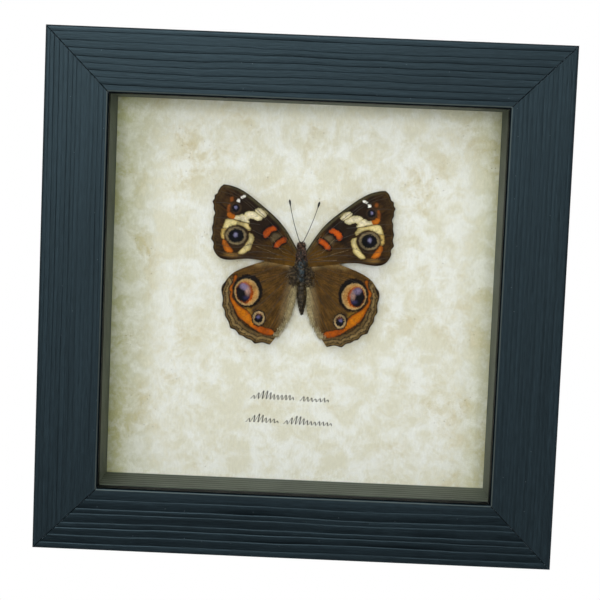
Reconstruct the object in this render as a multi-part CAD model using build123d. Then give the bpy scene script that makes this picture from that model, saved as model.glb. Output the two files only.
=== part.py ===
from build123d import *
import os
from math import cos, hypot, radians, sin, tan

os.makedirs("parts", exist_ok=True)

# A shallow glazed case with a spread butterfly, in millimetres. X runs to the right, +Y to the
# back and +Z up. The origin is the middle of the bottom face that the case stands on.

# Frame mouldings
case_side = 152.4            # outside width and height
face_width = 18.3            # outside edge to sight edge, on the front
lip_thickness = 4.0          # front lip that holds the glass
rebate_width = 6.3           # how far the lip stands over the rebate
outer_arris = 0.9            # rounding of the outside front edge
sight_arris = 0.8            # rounding of the sight edge
back_arris = 0.6             # rounding of the outside back edge

# What lies in the rebate, from the front to the back
glass_thickness = 2.0
spacer_depth = 18.0          # glass to card
card_thickness = 1.0
foam_thickness = 5.0
backing_thickness = 3.0
panel_clearance = 0.7        # round the glass, the card and the boards
side_spacer_thickness = 6.1
end_spacer_thickness = 6.6   # the top and bottom strips stand a little proud of the lip
glass_seam = 0.3             # ground edge of the pane
board_corner = 1.5           # clipped corners of the backing

# V-nails across the mitres
v_nail_leg = 6.0
v_nail_sheet = 0.6
v_nail_length = 10.0
v_nail_inset = 4.0           # apex of the nail from both outside faces

# Turn buttons and their screws
button_sheet = 1.0
button_root_radius = 5.0
button_tip_radius = 3.2
button_arm_length = 15.5     # pivot to tip
button_lift = 28.0           # angle of the turned-up tip, degrees
button_lifted_length = 4.0
pivot_inset = 6.0            # pivot from the outside face
pivot_spacing = 76.0         # between the two buttons of one stile
running_clearance = 0.05     # screw in button, radial
axial_clearance = 0.1        # above and below the button
screw_radius = 1.45
screw_length = 12.0          # below the head's seat on the wood
screw_head_radius = 2.8
screw_head_height = 1.9
screw_head_bevel = 0.7
recess_width = 0.8
recess_span = 3.2
recess_depth = 1.0
pilot_clearance = 0.03       # round the screws and nails in the wood
pilot_overrun = 0.6          # past their ends

# Sawtooth hanger and its nails
hanger_length = 44.0
hanger_height = 7.5
hanger_sheet = 0.8
hanger_raise = 1.4           # gap behind the raised middle
hanger_foot = 7.0            # flat end that is nailed down
hanger_ramp = 1.8
hanger_drop = 0.8            # upper edge of the strip below the outside face
tooth_count = 8
tooth_pitch = 3.0
tooth_depth = 1.5
nail_radius = 0.85
nail_length = 9.0
nail_head_radius = 1.9
nail_head_height = 0.6

# Bumpers at the foot of the back
bumper_radius = 4.5
bumper_thickness = 3.2
bumper_inset = 6.0           # centre from both outside faces

# Butterfly
specimen_x = -0.5            # thorax from the middle of the case
specimen_rise = 8.3          # thorax above the middle of the case
wing_height = 5.0            # wings in front of the card
wing_span = 55.0
wing_sheet = 0.3
wing_camber = 0.8
wing_step = 0.75             # hindwings behind the forewings
scallop_depth = 0.28
body_lean = 2.6              # degrees, head to the left
thorax_width = 3.9
thorax_length = 9.6
abdomen_length = 10.2
abdomen_radius = 1.5
abdomen_rings = 7
head_width = 2.5
head_length = 2.3
head_bevel = 0.45
eye_radius = 0.65
eye_seat = 0.95              # flat under the eye, from the head's middle
palp_length = 0.45
palp_radius = 0.3
palp_x = 0.4
antenna_radius = 0.1
antenna_root_x = 0.42
antenna_root_z = 0.5
antenna_length = 13.3
left_antenna_angle = 13.1    # degrees out from the line of the body
right_antenna_angle = 22.6
club_length = 1.9
club_radius = 0.26
club_tip_radius = 0.12
body_seat = 0.05             # gap where the specimen's pieces meet
riser_radius = 1.5

# Outlines drawn for a span of 55, x outwards from the body and y up from the thorax
drawn_span = 55.0
forewing_costa = [(0.6, 4.2), (3.4, 8.8), (5.9, 12.4), (13.4, 19.1), (19.7, 23.2), (24.3, 24.2)]
forewing_teeth = [(24.3, 24.2), (25.8, 22.4), (26.9, 20.9), (27.5, 19.0), (27.1, 16.8),
                  (27.0, 14.2), (27.4, 11.2), (27.5, 7.8), (26.8, 5.0)]
forewing_dorsum = [(26.8, 5.0), (24.3, 2.0), (17.0, 2.15), (10.0, 1.5), (0.6, 0.1)]
hindwing_costa = [(0.6, 1.6), (6.5, 2.6), (14.8, 0.4), (20.5, -2.3), (23.8, -8.2)]
hindwing_teeth = [(23.8, -8.2), (23.5, -12.4), (22.5, -15.4), (20.8, -19.0), (18.0, -21.0),
                  (15.9, -22.0), (13.2, -23.5), (8.6, -23.6)]
hindwing_dorsum = [(8.6, -23.6), (6.1, -20.2), (3.0, -15.2), (1.2, -8.4), (0.6, -2.5)]

# Worked out from the sizes above
wall_thickness = face_width - rebate_width
rebate_side = case_side - 2 * wall_thickness
panel_side = rebate_side - 2 * panel_clearance
case_depth = (lip_thickness + glass_thickness + spacer_depth
              + card_thickness + foam_thickness + backing_thickness)
front_y = -case_depth / 2
glass_y = front_y + lip_thickness
spacer_y = glass_y + glass_thickness
card_y = spacer_y + spacer_depth
foam_y = card_y + card_thickness
backing_y = foam_y + foam_thickness
back_y = backing_y + backing_thickness
centre_z = case_side / 2
button_y = back_y + axial_clearance
screw_head_y = button_y + button_sheet + axial_clearance
hanger_z = case_side - hanger_drop - hanger_height / 2
specimen = Location(Plane(
    origin=(specimen_x, card_y - wing_height, centre_z + specimen_rise),
    x_dir=(1, 0, 0), z_dir=(0, -1, 0)))


# ---------- Frame ----------

def about_centre(angle):
    return Pos(0, 0, centre_z) * Rot(0, angle, 0) * Pos(0, 0, -centre_z)


def moulding():
    # The bottom rail: an L section run along X, with both ends mitred.
    section = Polygon(
        (front_y, 0), (back_y, 0), (back_y, wall_thickness), (glass_y, wall_thickness),
        (glass_y, face_width), (front_y, face_width), align=None)
    for corner, radius in (((front_y, 0), outer_arris), ((back_y, 0), back_arris),
                           ((front_y, face_width), sight_arris)):
        nearest = section.vertices().sort_by_distance((corner[0], corner[1], 0))[0]
        section = fillet(nearest, radius)
    run = extrude(Plane.YZ * section, case_side / 2, both=True)
    mitre = Polygon((-case_side / 2, 0), (case_side / 2, 0), (0, case_side / 2), align=None)
    return run & extrude(Plane.XZ * mitre, case_depth, both=True)


def v_nail():
    # A folded strip at the lower left corner, driven in from the back and left flush.
    near, far = v_nail_inset, v_nail_inset + v_nail_leg
    inner = near + v_nail_sheet
    fold = Polygon((near, near), (far, near), (far, inner), (inner, inner),
                   (inner, far), (near, far), align=None)
    plane = Plane(origin=(-case_side / 2, back_y, 0), x_dir=(1, 0, 0), z_dir=(0, -1, 0))
    return extrude(plane * fold, v_nail_length)


v_nails = [about_centre(turn) * v_nail() for turn in (0, 90, 180, 270)]


# ---------- Rebate ----------

def panel(thickness, y):
    return Pos(0, y + thickness / 2, centre_z) * Box(panel_side, thickness, panel_side)


def glass():
    pane = panel(glass_thickness, glass_y)
    rims = pane.edges().filter_by(Axis.Y, reverse=True)
    return chamfer(rims, glass_seam)


def backing():
    board = panel(backing_thickness, backing_y)
    return chamfer(board.edges().filter_by(Axis.Y), board_corner)


def end_spacer(side):
    # side is 1 for the top strip and -1 for the bottom one, which run the full width
    middle = centre_z + side * (rebate_side - end_spacer_thickness) / 2
    strip = Box(rebate_side, spacer_depth, end_spacer_thickness)
    return Pos(0, spacer_y + spacer_depth / 2, middle) * strip


def side_spacer(side):
    # These stand between the top and bottom strips.
    middle = side * (rebate_side - side_spacer_thickness) / 2
    strip = Box(side_spacer_thickness, spacer_depth, rebate_side - 2 * end_spacer_thickness)
    return Pos(middle, spacer_y + spacer_depth / 2, centre_z) * strip


# ---------- Turn buttons ----------

pivots = {}
for side_name, side in (("left", -1), ("right", 1)):
    for level_name, level in (("lower", -1), ("upper", 1)):
        pivots[f"{level_name}_{side_name}"] = (
            side * (case_side / 2 - pivot_inset), centre_z + level * pivot_spacing / 2, side)


def turn_button(pivot):
    # A pressed tongue, round at its screw and at its turned-up tip.
    x, z, side = pivot
    tip = button_arm_length - button_tip_radius
    plan = make_hull((Circle(button_root_radius) + Pos(tip, 0) * Circle(button_tip_radius)).edges())
    plan -= Circle(screw_radius + running_clearance)
    angle = radians(button_lift)
    bend = button_arm_length - button_lifted_length * cos(angle)
    end = button_lifted_length + button_tip_radius
    side_view = Polygon(
        (-button_root_radius, 0), (bend, 0), (bend + end * cos(angle), end * sin(angle)),
        (bend + end * cos(angle) - button_sheet * sin(angle), end * sin(angle) + button_sheet * cos(angle)),
        (bend - button_sheet * tan(angle / 2), button_sheet), (-button_root_radius, button_sheet),
        align=None)
    sheet = extrude(side_view, button_root_radius, both=True)
    blank = extrude(Plane.XZ * plan, button_arm_length, both=True)
    turn = 180 if side > 0 else 0
    return Pos(x, button_y, z) * Rot(0, turn, 0) * (sheet & blank)


def turned(profile, length, radius):
    # A pin from y = -length, turned in one with the profile over it, which runs from the shank's
    # edge at y = 0 up to the axis.
    top = profile[-1] @ 1
    shank = Polyline((0, top.Y), (0, -length), (radius, -length), (radius, 0))
    return revolve(make_face(Curve() + [shank, *profile]), Axis.Y)


def screw():
    # A pan head with a bevelled rim and a cross recess. It stands at y = 0 on the wood's back face.
    seat = screw_head_y - back_y
    crown = seat + screw_head_height
    pan = [Polyline((screw_radius, 0), (screw_radius, seat), (screw_head_radius, seat),
                    (screw_head_radius, crown - screw_head_bevel),
                    (screw_head_radius - screw_head_bevel, crown), (0, crown))]
    cross = Rectangle(recess_span, recess_width) + Rectangle(recess_width, recess_span)
    face = Plane(origin=(0, crown, 0), x_dir=(1, 0, 0), z_dir=(0, -1, 0))
    return turned(pan, screw_length, screw_radius) - extrude(face * cross, recess_depth)


def pilot_hole(x, z, radius, length):
    bore = Cylinder(radius + pilot_clearance, length + pilot_overrun)
    return Pos(x, back_y - (length + pilot_overrun) / 2, z) * Rot(90, 0, 0) * bore


# ---------- Hanger and bumpers ----------

hanger_nail_x = (hanger_length - hanger_foot) / 2


def hanger():
    # A strip with a raised middle, toothed along the lower edge of that middle.
    half, foot = hanger_length / 2, hanger_length / 2 - hanger_foot
    flat = foot - hanger_ramp
    low, high = back_y, back_y + hanger_raise
    under = [(-half, low), (-foot, low), (-flat, high), (flat, high), (foot, low), (half, low)]
    over = [(x, y + hanger_sheet) for x, y in reversed(under)]
    strip = extrude(Polygon(*under, *over, align=None), hanger_height / 2, both=True)
    for index in range(tooth_count):
        middle = (index - (tooth_count - 1) / 2) * tooth_pitch
        notch = Polygon((middle - tooth_pitch / 2, -hanger_height / 2),
                        (middle + tooth_pitch / 2, -hanger_height / 2),
                        (middle, -hanger_height / 2 + tooth_depth), align=None)
        cutter = Plane(origin=(0, back_y, 0), x_dir=(1, 0, 0), z_dir=(0, -1, 0)) * notch
        strip -= extrude(cutter, 4 * (hanger_raise + hanger_sheet), both=True)
    for x in (-hanger_nail_x, hanger_nail_x):
        hole = Cylinder(nail_radius + pilot_clearance, 6 * hanger_sheet)
        strip -= Pos(x, back_y, 0) * Rot(90, 0, 0) * hole
    return Pos(0, 0, hanger_z) * strip


def hanger_nail():
    top = hanger_sheet + nail_head_height
    head = [Polyline((nail_radius, 0), (nail_radius, hanger_sheet), (nail_head_radius, hanger_sheet),
                     (nail_head_radius, top), (0, top))]
    return turned(head, nail_length, nail_radius)


def bumper(side):
    disc = Rot(90, 0, 0) * Cylinder(bumper_radius, bumper_thickness)
    return Pos(side * (case_side / 2 - bumper_inset), back_y + bumper_thickness / 2, bumper_inset) * disc


# ---------- Butterfly, drawn face up: x outwards, y to the head, z to the glass ----------

wing_scale = wing_span / drawn_span


def scaled(points):
    return [(x * wing_scale, y * wing_scale) for x, y in points]


def scallops(teeth):
    # Between two teeth the margin dips towards the wing, as one arc.
    arcs = []
    for (x0, y0), (x1, y1) in zip(teeth, teeth[1:]):
        length = hypot(x1 - x0, y1 - y0)
        dip_x, dip_y = (y1 - y0) / length * scallop_depth, -(x1 - x0) / length * scallop_depth
        middle = ((x0 + x1) / 2 + dip_x, (y0 + y1) / 2 + dip_y)
        arcs.append(ThreePointArc((x0, y0), middle, (x1, y1)))
    return arcs


def wing(costa, teeth, dorsum, level):
    # The outline cut from a cambered sheet, one arc high from root to tip.
    costa, teeth, dorsum = scaled(costa), scaled(teeth), scaled(dorsum)
    edges = [Spline(*costa), *scallops(teeth), Spline(*dorsum), Line(dorsum[-1], costa[0])]
    outline = make_face(Curve() + edges)
    half, reach = wing_span * 0.55, wing_span
    crown, tip = level + wing_camber, level + wing_camber * 0.6
    lower = ThreePointArc((0, level), (half / 2, crown), (half, tip))
    upper = lower.moved(Location((0, wing_sheet, 0)))
    strip = make_face(Curve() + [lower, Line(lower @ 1, upper @ 1), upper, Line(upper @ 0, lower @ 0)])
    sheet = extrude(Plane.XZ * strip, reach, both=True)
    return extrude(outline, 2 * wing_height, both=True) & sheet


def lean(shape):
    return Rot(0, 0, body_lean) * shape


thorax_tail_y = -0.44 * thorax_length
thorax_neck_y = thorax_tail_y + thorax_length


def turned_body(curve, low, high):
    # A curve on the +x side, closed along the axis between its two ends and turned about it.
    ends = [Line(curve @ 1, (0, high)), Line((0, high), (0, low)), Line((0, low), curve @ 0)]
    return revolve(make_face(Curve() + [curve, *ends]), Axis.Y)


def thorax(grown=0.0):
    # Narrowed to the waist and to the neck, with an even middle that carries the wings.
    stations = [(0.0, 0.6), (0.3, 1.0), (0.62, 1.0), (1.0, 0.42)]
    outline = Polyline(*[(thorax_width / 2 * size + grown, thorax_tail_y + share * thorax_length)
                         for share, size in stations])
    return lean(turned_body(outline, thorax_tail_y, thorax_neck_y))


def abdomen():
    # Rings that telescope into one another, fullest behind the waist and closing to the tail.
    ring_length = abdomen_length / abdomen_rings
    rings = []
    for index in range(abdomen_rings):
        share = index / abdomen_rings
        radius = abdomen_radius * (0.78 + 1.1 * share - 1.72 * share ** 2)
        ring = Rot(90, 0, 0) * Cylinder(radius, ring_length)
        rings.append(Pos(0, -(index + 0.5) * ring_length, 0) * ring)
    return lean(Pos(0, thorax_tail_y - body_seat, 0) * (Part() + rings))


head_y = thorax_neck_y + body_seat + head_length / 2


def head(grown=0.0):
    # A short barrel along the body with bevelled ends, and a flat on each side for the eye.
    barrel = Rot(90, 0, 0) * Cylinder(head_width / 2 + grown, head_length + 2 * grown)
    barrel = chamfer(barrel.edges().filter_by(GeomType.CIRCLE), head_bevel)
    between_eyes = Box(2 * (eye_seat + grown), head_length * 2, head_width * 2)
    return Pos(0, head_y, 0) * (barrel & between_eyes)


def eye(side, grown=0.0):
    # A dome on the flat of the head.
    ball = Sphere(eye_radius + grown)
    dome = ball & Pos(eye_radius, 0, 0) * Box(2 * eye_radius, 4 * eye_radius, 4 * eye_radius)
    turn = 0 if side > 0 else 180
    return Pos(side * (eye_seat + body_seat), head_y, 0) * Rot(0, turn, 0) * dome


def palp(side):
    middle = head_y + head_length / 2 + body_seat + palp_length / 2
    return Pos(side * palp_x, middle, 0) * Rot(90, 0, 0) * Cylinder(palp_radius, palp_length)


def antenna(side, angle):
    # A thread with a club on its end, rooted on the face of the head over the palps.
    thread_length = antenna_length - club_length
    half, swell = thread_length / 2, club_length / 2
    thread = Pos(0, half, 0) * Rot(90, 0, 0) * Cylinder(antenna_radius, thread_length)
    belly = ThreePointArc((club_tip_radius, -swell), (club_radius, 0), (club_tip_radius, swell))
    club = Pos(0, thread_length + swell, 0) * turned_body(belly, -swell, swell)
    face = Pos(side * antenna_root_x, head_y + head_length / 2 + body_seat, antenna_root_z)
    return lean(face * Rot(0, 0, -side * angle) * (thread + club))


def riser():
    # A pad between the card and the underside of the thorax.
    height = wing_height - thorax_width / 2 - body_seat
    post = Cylinder(riser_radius, height, align=(Align.CENTER, Align.CENTER, Align.MIN))
    return Pos(0, 0, -wing_height) * post


# ---------- All the pieces ----------

bottom_rail = moulding()
for nail in v_nails:
    bottom_rail -= nail
rails = {"bottom_rail": bottom_rail}
for name, turn in (("left_stile", 90), ("top_rail", 180), ("right_stile", 270)):
    rails[name] = about_centre(turn) * bottom_rail
for x, z, side in pivots.values():
    stile = "left_stile" if side < 0 else "right_stile"
    rails[stile] -= pilot_hole(x, z, screw_radius, screw_length)
for x in (-hanger_nail_x, hanger_nail_x):
    rails["top_rail"] -= pilot_hole(x, hanger_z, nail_radius, nail_length)

abdomen_room = Pos(0, thorax_tail_y - abdomen_length / 2, 0) * Rot(90, 0, 0) * Cylinder(
    abdomen_radius + body_seat, abdomen_length)
head_room = head(body_seat) + eye(-1, body_seat) + eye(1, body_seat)
core = thorax(body_seat) + lean(abdomen_room) + lean(head_room)
wings = {}
for pair, blank in (
        ("forewing", wing(forewing_costa, forewing_teeth, forewing_dorsum, 0)),
        ("hindwing", wing(hindwing_costa, hindwing_teeth, hindwing_dorsum, -wing_step))):
    wings[f"right_{pair}"] = blank - core
    wings[f"left_{pair}"] = mirror(blank, Plane.YZ) - core

pieces = {
    **rails,
    "corner_v_nails": Compound(children=v_nails),
    "glass_pane": glass(),
    "top_spacer": end_spacer(1),
    "bottom_spacer": end_spacer(-1),
    "left_spacer": side_spacer(-1),
    "right_spacer": side_spacer(1),
    "parchment_card": panel(card_thickness, card_y),
    "foam_board": panel(foam_thickness, foam_y),
    "backing_board": backing(),
    "turn_button_screws": Compound(children=[Pos(x, back_y, z) * screw() for x, z, side in pivots.values()]),
    "sawtooth_hanger": hanger(),
    "hanger_nails": Compound(children=[
        Pos(x, back_y, hanger_z) * hanger_nail() for x in (-hanger_nail_x, hanger_nail_x)]),
    "wall_bumpers": Compound(children=[bumper(-1), bumper(1)]),
    "specimen_riser": specimen * riser(),
    "thorax": specimen * thorax(),
    "abdomen": specimen * abdomen(),
    "head": specimen * lean(head()),
    "compound_eyes": Compound(children=[specimen * lean(eye(side)) for side in (-1, 1)]),
    "labial_palps": Compound(children=[specimen * lean(palp(side)) for side in (-1, 1)]),
}
for name, pivot in pivots.items():
    pieces[f"turn_button_{name}"] = turn_button(pivot)
for name, shape in wings.items():
    pieces[name] = specimen * shape
pieces["left_antenna"] = specimen * antenna(-1, left_antenna_angle)
pieces["right_antenna"] = specimen * antenna(1, right_antenna_angle)

for name, shape in pieces.items():
    export_step(shape, f"parts/{name}.step")
print(len(pieces), "pieces, case depth", round(case_depth, 2))
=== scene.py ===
import math
import random

import bmesh
import bpy
import numpy as np
from mathutils import Matrix, Vector, noise
from mathutils.bvhtree import BVHTree


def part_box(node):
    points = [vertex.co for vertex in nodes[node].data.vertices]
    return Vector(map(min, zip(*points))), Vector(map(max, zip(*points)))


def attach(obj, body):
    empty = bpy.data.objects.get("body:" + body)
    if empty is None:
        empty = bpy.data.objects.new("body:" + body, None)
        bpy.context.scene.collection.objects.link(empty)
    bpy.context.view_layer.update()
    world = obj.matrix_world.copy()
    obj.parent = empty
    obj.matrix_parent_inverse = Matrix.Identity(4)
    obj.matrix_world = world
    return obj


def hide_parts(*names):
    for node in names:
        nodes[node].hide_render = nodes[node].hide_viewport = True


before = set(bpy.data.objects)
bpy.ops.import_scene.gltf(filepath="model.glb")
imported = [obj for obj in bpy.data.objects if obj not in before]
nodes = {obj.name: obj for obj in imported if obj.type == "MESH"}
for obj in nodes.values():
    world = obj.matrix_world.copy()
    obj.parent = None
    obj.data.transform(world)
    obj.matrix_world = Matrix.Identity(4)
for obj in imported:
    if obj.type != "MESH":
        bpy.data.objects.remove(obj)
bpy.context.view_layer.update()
mm = 0.001  # every size below is in millimetres

# The case, read from the frame
railLow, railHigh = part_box("bottom_rail")
caseSide = (railHigh.x - railLow.x) / mm
faceWidth = railHigh.z / mm
frontY, backY = railLow.y / mm, railHigh.y / mm
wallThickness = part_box("bottom_spacer")[0].z / mm
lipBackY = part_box("glass_pane")[0].y / mm
cardLow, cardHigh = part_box("parchment_card")
centreZ = caseSide / 2

# The specimen's own axes: its middle over the riser, its wings at the thorax's mid height
riserLow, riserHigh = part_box("specimen_riser")
thoraxLow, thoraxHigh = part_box("thorax")
specimenX = (riserLow.x + riserHigh.x) / 2 / mm
specimenZ = (riserLow.z + riserHigh.z) / 2 / mm
wingY = (thoraxLow.y + thoraxHigh.y) / 2 / mm
bothSides = ((-1, "left"), (1, "right"))


# Materials: helpers for a colour, a node, a new material and the links that finish it

def linear(hexColour):
    values = [int(hexColour[i:i + 2], 16) / 255 for i in (1, 3, 5)]
    return tuple(v / 12.92 if v <= 0.04045 else ((v + 0.055) / 1.055) ** 2.4 for v in values) + (1.0,)


def addNode(tree, kind, inputs=None, **settings):
    node = tree.nodes.new("ShaderNode" + kind)
    for name, value in settings.items():
        setattr(node, name, value)
    for socket, value in (inputs or {}).items():
        if isinstance(value, bpy.types.NodeSocket):
            tree.links.new(value, node.inputs[socket])
        else:
            node.inputs[socket].default_value = value
    return node


def newMaterial(name, **surface):
    material = bpy.data.materials.new(name)
    material.use_nodes = True
    shader = material.node_tree.nodes["Principled BSDF"]
    for socket, value in surface.items():
        shader.inputs[socket.replace("_", " ")].default_value = value
    return material, material.node_tree


def finished(material, **outputs):
    # each output goes to the surface's socket of the same name
    tree = material.node_tree
    for socket, output in outputs.items():
        tree.links.new(output, tree.nodes["Principled BSDF"].inputs[socket.replace("_", " ")])
    return material


def brushedPaintOnPine():
    # Navy satin paint brushed on open-grained pine: painted shade in the grain and on the lip, a painted
    # highlight on the sight edge, streaked along the rail, chipped along the mitres, with some dust
    look = {"paint": "#12191D", "thin": "#1E292F", "paintedGrainShade": "#04070A", "arrisHighlight": "#565B52", "dust": "#75828A",
            "sheen": "#A8CDDC", "streakLength": 55, "streakWidth": 0.9, "poreLength": 4, "poreWidth": 0.5,
            "thinSpan": (0.14, 0.38), "grainShadeShare": 0.9, "highlightGain": -1.6, "chip": 0.14, "chipSize": 0.7,
            "chipAbove": 0.58, "dustSpacing": 9.0, "dustSize": 0.1, "dustAbove": 0.62, "paleShare": 0.45,
            "glossSpan": (0.1, 0.9), "gloss": (0.5, 0.03), "roughness": (0.44, 0.56)}
    material, tree = newMaterial("brushedPaintOnPine", Specular_Tint=linear(look["sheen"]))
    run = addNode(tree, "UVMap", uv_map="grainRun").outputs[0]
    streaks = addNode(tree, "Mapping", {"Vector": run, "Scale": (
        1 / look["streakLength"], 1 / look["streakWidth"], 1)})
    tone = addNode(tree, "TexNoise", {"Vector": streaks.outputs[0], "Scale": 1.0, "Detail": 4.0})
    pores = addNode(tree, "Mapping", {"Vector": run,
                                      "Scale": (1 / look["poreLength"], 1 / look["poreWidth"], 1)})
    fine = addNode(tree, "TexNoise", {"Vector": pores.outputs[0], "Scale": 1.0, "Detail": 4.0,
                                      "Roughness": 0.65})
    amount = addNode(tree, "Math", {0: tone.outputs[0], 1: fine.outputs[0]}, operation="MULTIPLY")
    spread = addNode(tree, "MapRange", {"Value": amount.outputs[0], "From Min": look["thinSpan"][0],
                                        "From Max": look["thinSpan"][1]})
    base = addNode(tree, "Mix", {"Factor": spread.outputs[0], 6: linear(look["paint"]),
                                 7: linear(look["thin"])}, data_type="RGBA")
    # painted shade and highlight: the attribute is 1 at the bottom of the grain and on the lip's inner face,
    # and below 0 where the sight arris gets a painted highlight; the shaded hollows also lose gloss
    paintedLightLevel = addNode(tree, "Attribute", attribute_name="paintedShadeAndHighlight").outputs["Fac"]
    paintedGrainShade = addNode(tree, "Math", {0: paintedLightLevel, 1: look["grainShadeShare"]}, operation="MULTIPLY")
    grainShaded = addNode(tree, "Mix", {"Factor": paintedGrainShade.outputs[0], 6: base.outputs[2],
                                    7: linear(look["paintedGrainShade"])}, data_type="RGBA")
    # painted highlight: the sight arris turns pale where the attribute is below 0, patchy with the streaks
    arrisHighlit = addNode(tree, "Math", {0: paintedLightLevel, 1: look["highlightGain"]}, operation="MULTIPLY")
    patchy = addNode(tree, "Math", {0: arrisHighlit.outputs[0], 1: tone.outputs[0]}, operation="MULTIPLY",
                     use_clamp=True)
    arrisHighlight = addNode(tree, "Mix", {"Factor": patchy.outputs[0], 6: grainShaded.outputs[2], 7: linear(look["arrisHighlight"])},
                   data_type="RGBA")
    mitre = addNode(tree, "Attribute", attribute_name="fromMitre")
    atMitre = addNode(tree, "Math", {0: mitre.outputs["Fac"], 1: look["chip"]}, operation="LESS_THAN")
    broken = addNode(tree, "TexNoise", {"Vector": run, "Scale": 1 / look["chipSize"], "Detail": 2.0})
    loose = addNode(tree, "Math", {0: broken.outputs[0], 1: look["chipAbove"]}, operation="GREATER_THAN")
    cells = addNode(tree, "TexVoronoi", {"Vector": run, "Scale": 1 / look["dustSpacing"], "Randomness": 1.0},
                    voronoi_dimensions="2D")
    speck = addNode(tree, "Math", {0: cells.outputs["Distance"], 1: look["dustSize"] / look["dustSpacing"]},
                    operation="LESS_THAN")
    chosen = addNode(tree, "Math", {0: cells.outputs["Color"], 1: look["dustAbove"]},
                     operation="GREATER_THAN")
    dusty = addNode(tree, "Math", {0: speck.outputs[0], 1: chosen.outputs[0]}, operation="MULTIPLY")
    pale = addNode(tree, "Math", {0: atMitre.outputs[0], 1: loose.outputs[0], 2: dusty.outputs[0]},
                   operation="MULTIPLY_ADD", use_clamp=True)
    faint = addNode(tree, "Math", {0: pale.outputs[0], 1: look["paleShare"]}, operation="MULTIPLY")
    colour = addNode(tree, "Mix", {"Factor": faint.outputs[0], 6: arrisHighlight.outputs[2], 7: linear(look["dust"])},
                     data_type="RGBA")
    gloss = addNode(tree, "MapRange", {
        "Value": paintedLightLevel, "From Min": look["glossSpan"][0], "From Max": look["glossSpan"][1],
        "To Min": look["gloss"][0], "To Max": look["gloss"][1]})
    relief = addNode(tree, "Bump", {"Height": fine.outputs[0], "Strength": 0.8, "Distance": 0.1 * mm})
    rough = addNode(tree, "MapRange", {"Value": fine.outputs[0], "To Min": look["roughness"][0],
                                       "To Max": look["roughness"][1]})
    return finished(material, Base_Color=colour.outputs[2], Specular_IOR_Level=gloss.outputs[0],
                    Roughness=rough.outputs[0], Normal=relief.outputs[0])


def stainedSpacerWood():
    # Olive-grey stain wiped on a sawn strip: matt, with fine saw lines along the strip
    look = {"stain": "#667062", "line": "#3A4136", "linePitch": 2.8, "lineShare": 0.7, "blotch": 12.0,
            "toneSpan": (0.35, 1.2)}
    wavePeriod = 0.314  # of the wave texture at a scale of 1
    material, tree = newMaterial("stainedSpacerWood", Roughness=0.72)
    place = addNode(tree, "TexCoord").outputs["Object"]
    lines = addNode(tree, "TexWave", {"Vector": place, "Scale": wavePeriod / look["linePitch"] / mm,
                                      "Distortion": 1.6, "Detail": 3.0, "Detail Scale": 0.4},
                    bands_direction="Y").outputs["Fac"]
    cloud = addNode(tree, "TexNoise", {"Vector": place, "Scale": 1 / look["blotch"] / mm, "Detail": 3.0})
    both = addNode(tree, "Math", {0: lines, 1: look["lineShare"], 2: cloud.outputs[0]},
                   operation="MULTIPLY_ADD")
    tone = addNode(tree, "MapRange", {"Value": both.outputs[0], "From Min": look["toneSpan"][0],
                                      "From Max": look["toneSpan"][1]})
    colour = addNode(tree, "Mix", {"Factor": tone.outputs[0], 6: linear(look["line"]),
                                   7: linear(look["stain"])}, data_type="RGBA")
    relief = addNode(tree, "Bump", {"Height": lines, "Strength": 0.5, "Distance": 0.15 * mm})
    return finished(material, Base_Color=colour.outputs[2], Normal=relief.outputs[0])


def floatGlass():
    # Clear float glass, 2 mm: what is behind it shows straight through, with a thin Fresnel gloss
    look = {"tint": (0.985, 0.992, 0.988, 1), "roughness": 0.01,
            "ior": 1.25}  # under glass's own 1.5, because the photograph shows hardly any reflection
    material, tree = newMaterial("floatGlass")
    tree.nodes.remove(tree.nodes["Principled BSDF"])
    through = addNode(tree, "BsdfTransparent", {"Color": look["tint"]})
    gloss = addNode(tree, "BsdfGlossy", {"Color": (1, 1, 1, 1), "Roughness": look["roughness"]})
    fresnel = addNode(tree, "Fresnel", {"IOR": look["ior"]})
    # no gloss on the way out: these rays aren't bent, and would count as totally reflected there
    entering = addNode(tree, "Math", {0: 1.0, 1: addNode(tree, "NewGeometry").outputs["Backfacing"]},
                       operation="SUBTRACT")
    share = addNode(tree, "Math", {0: fresnel.outputs[0], 1: entering.outputs[0]}, operation="MULTIPLY")
    both = addNode(tree, "MixShader", {0: share.outputs[0], 1: through.outputs[0], 2: gloss.outputs[0]})
    tree.links.new(both.outputs[0], tree.nodes["Material Output"].inputs["Surface"])
    return material


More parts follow.
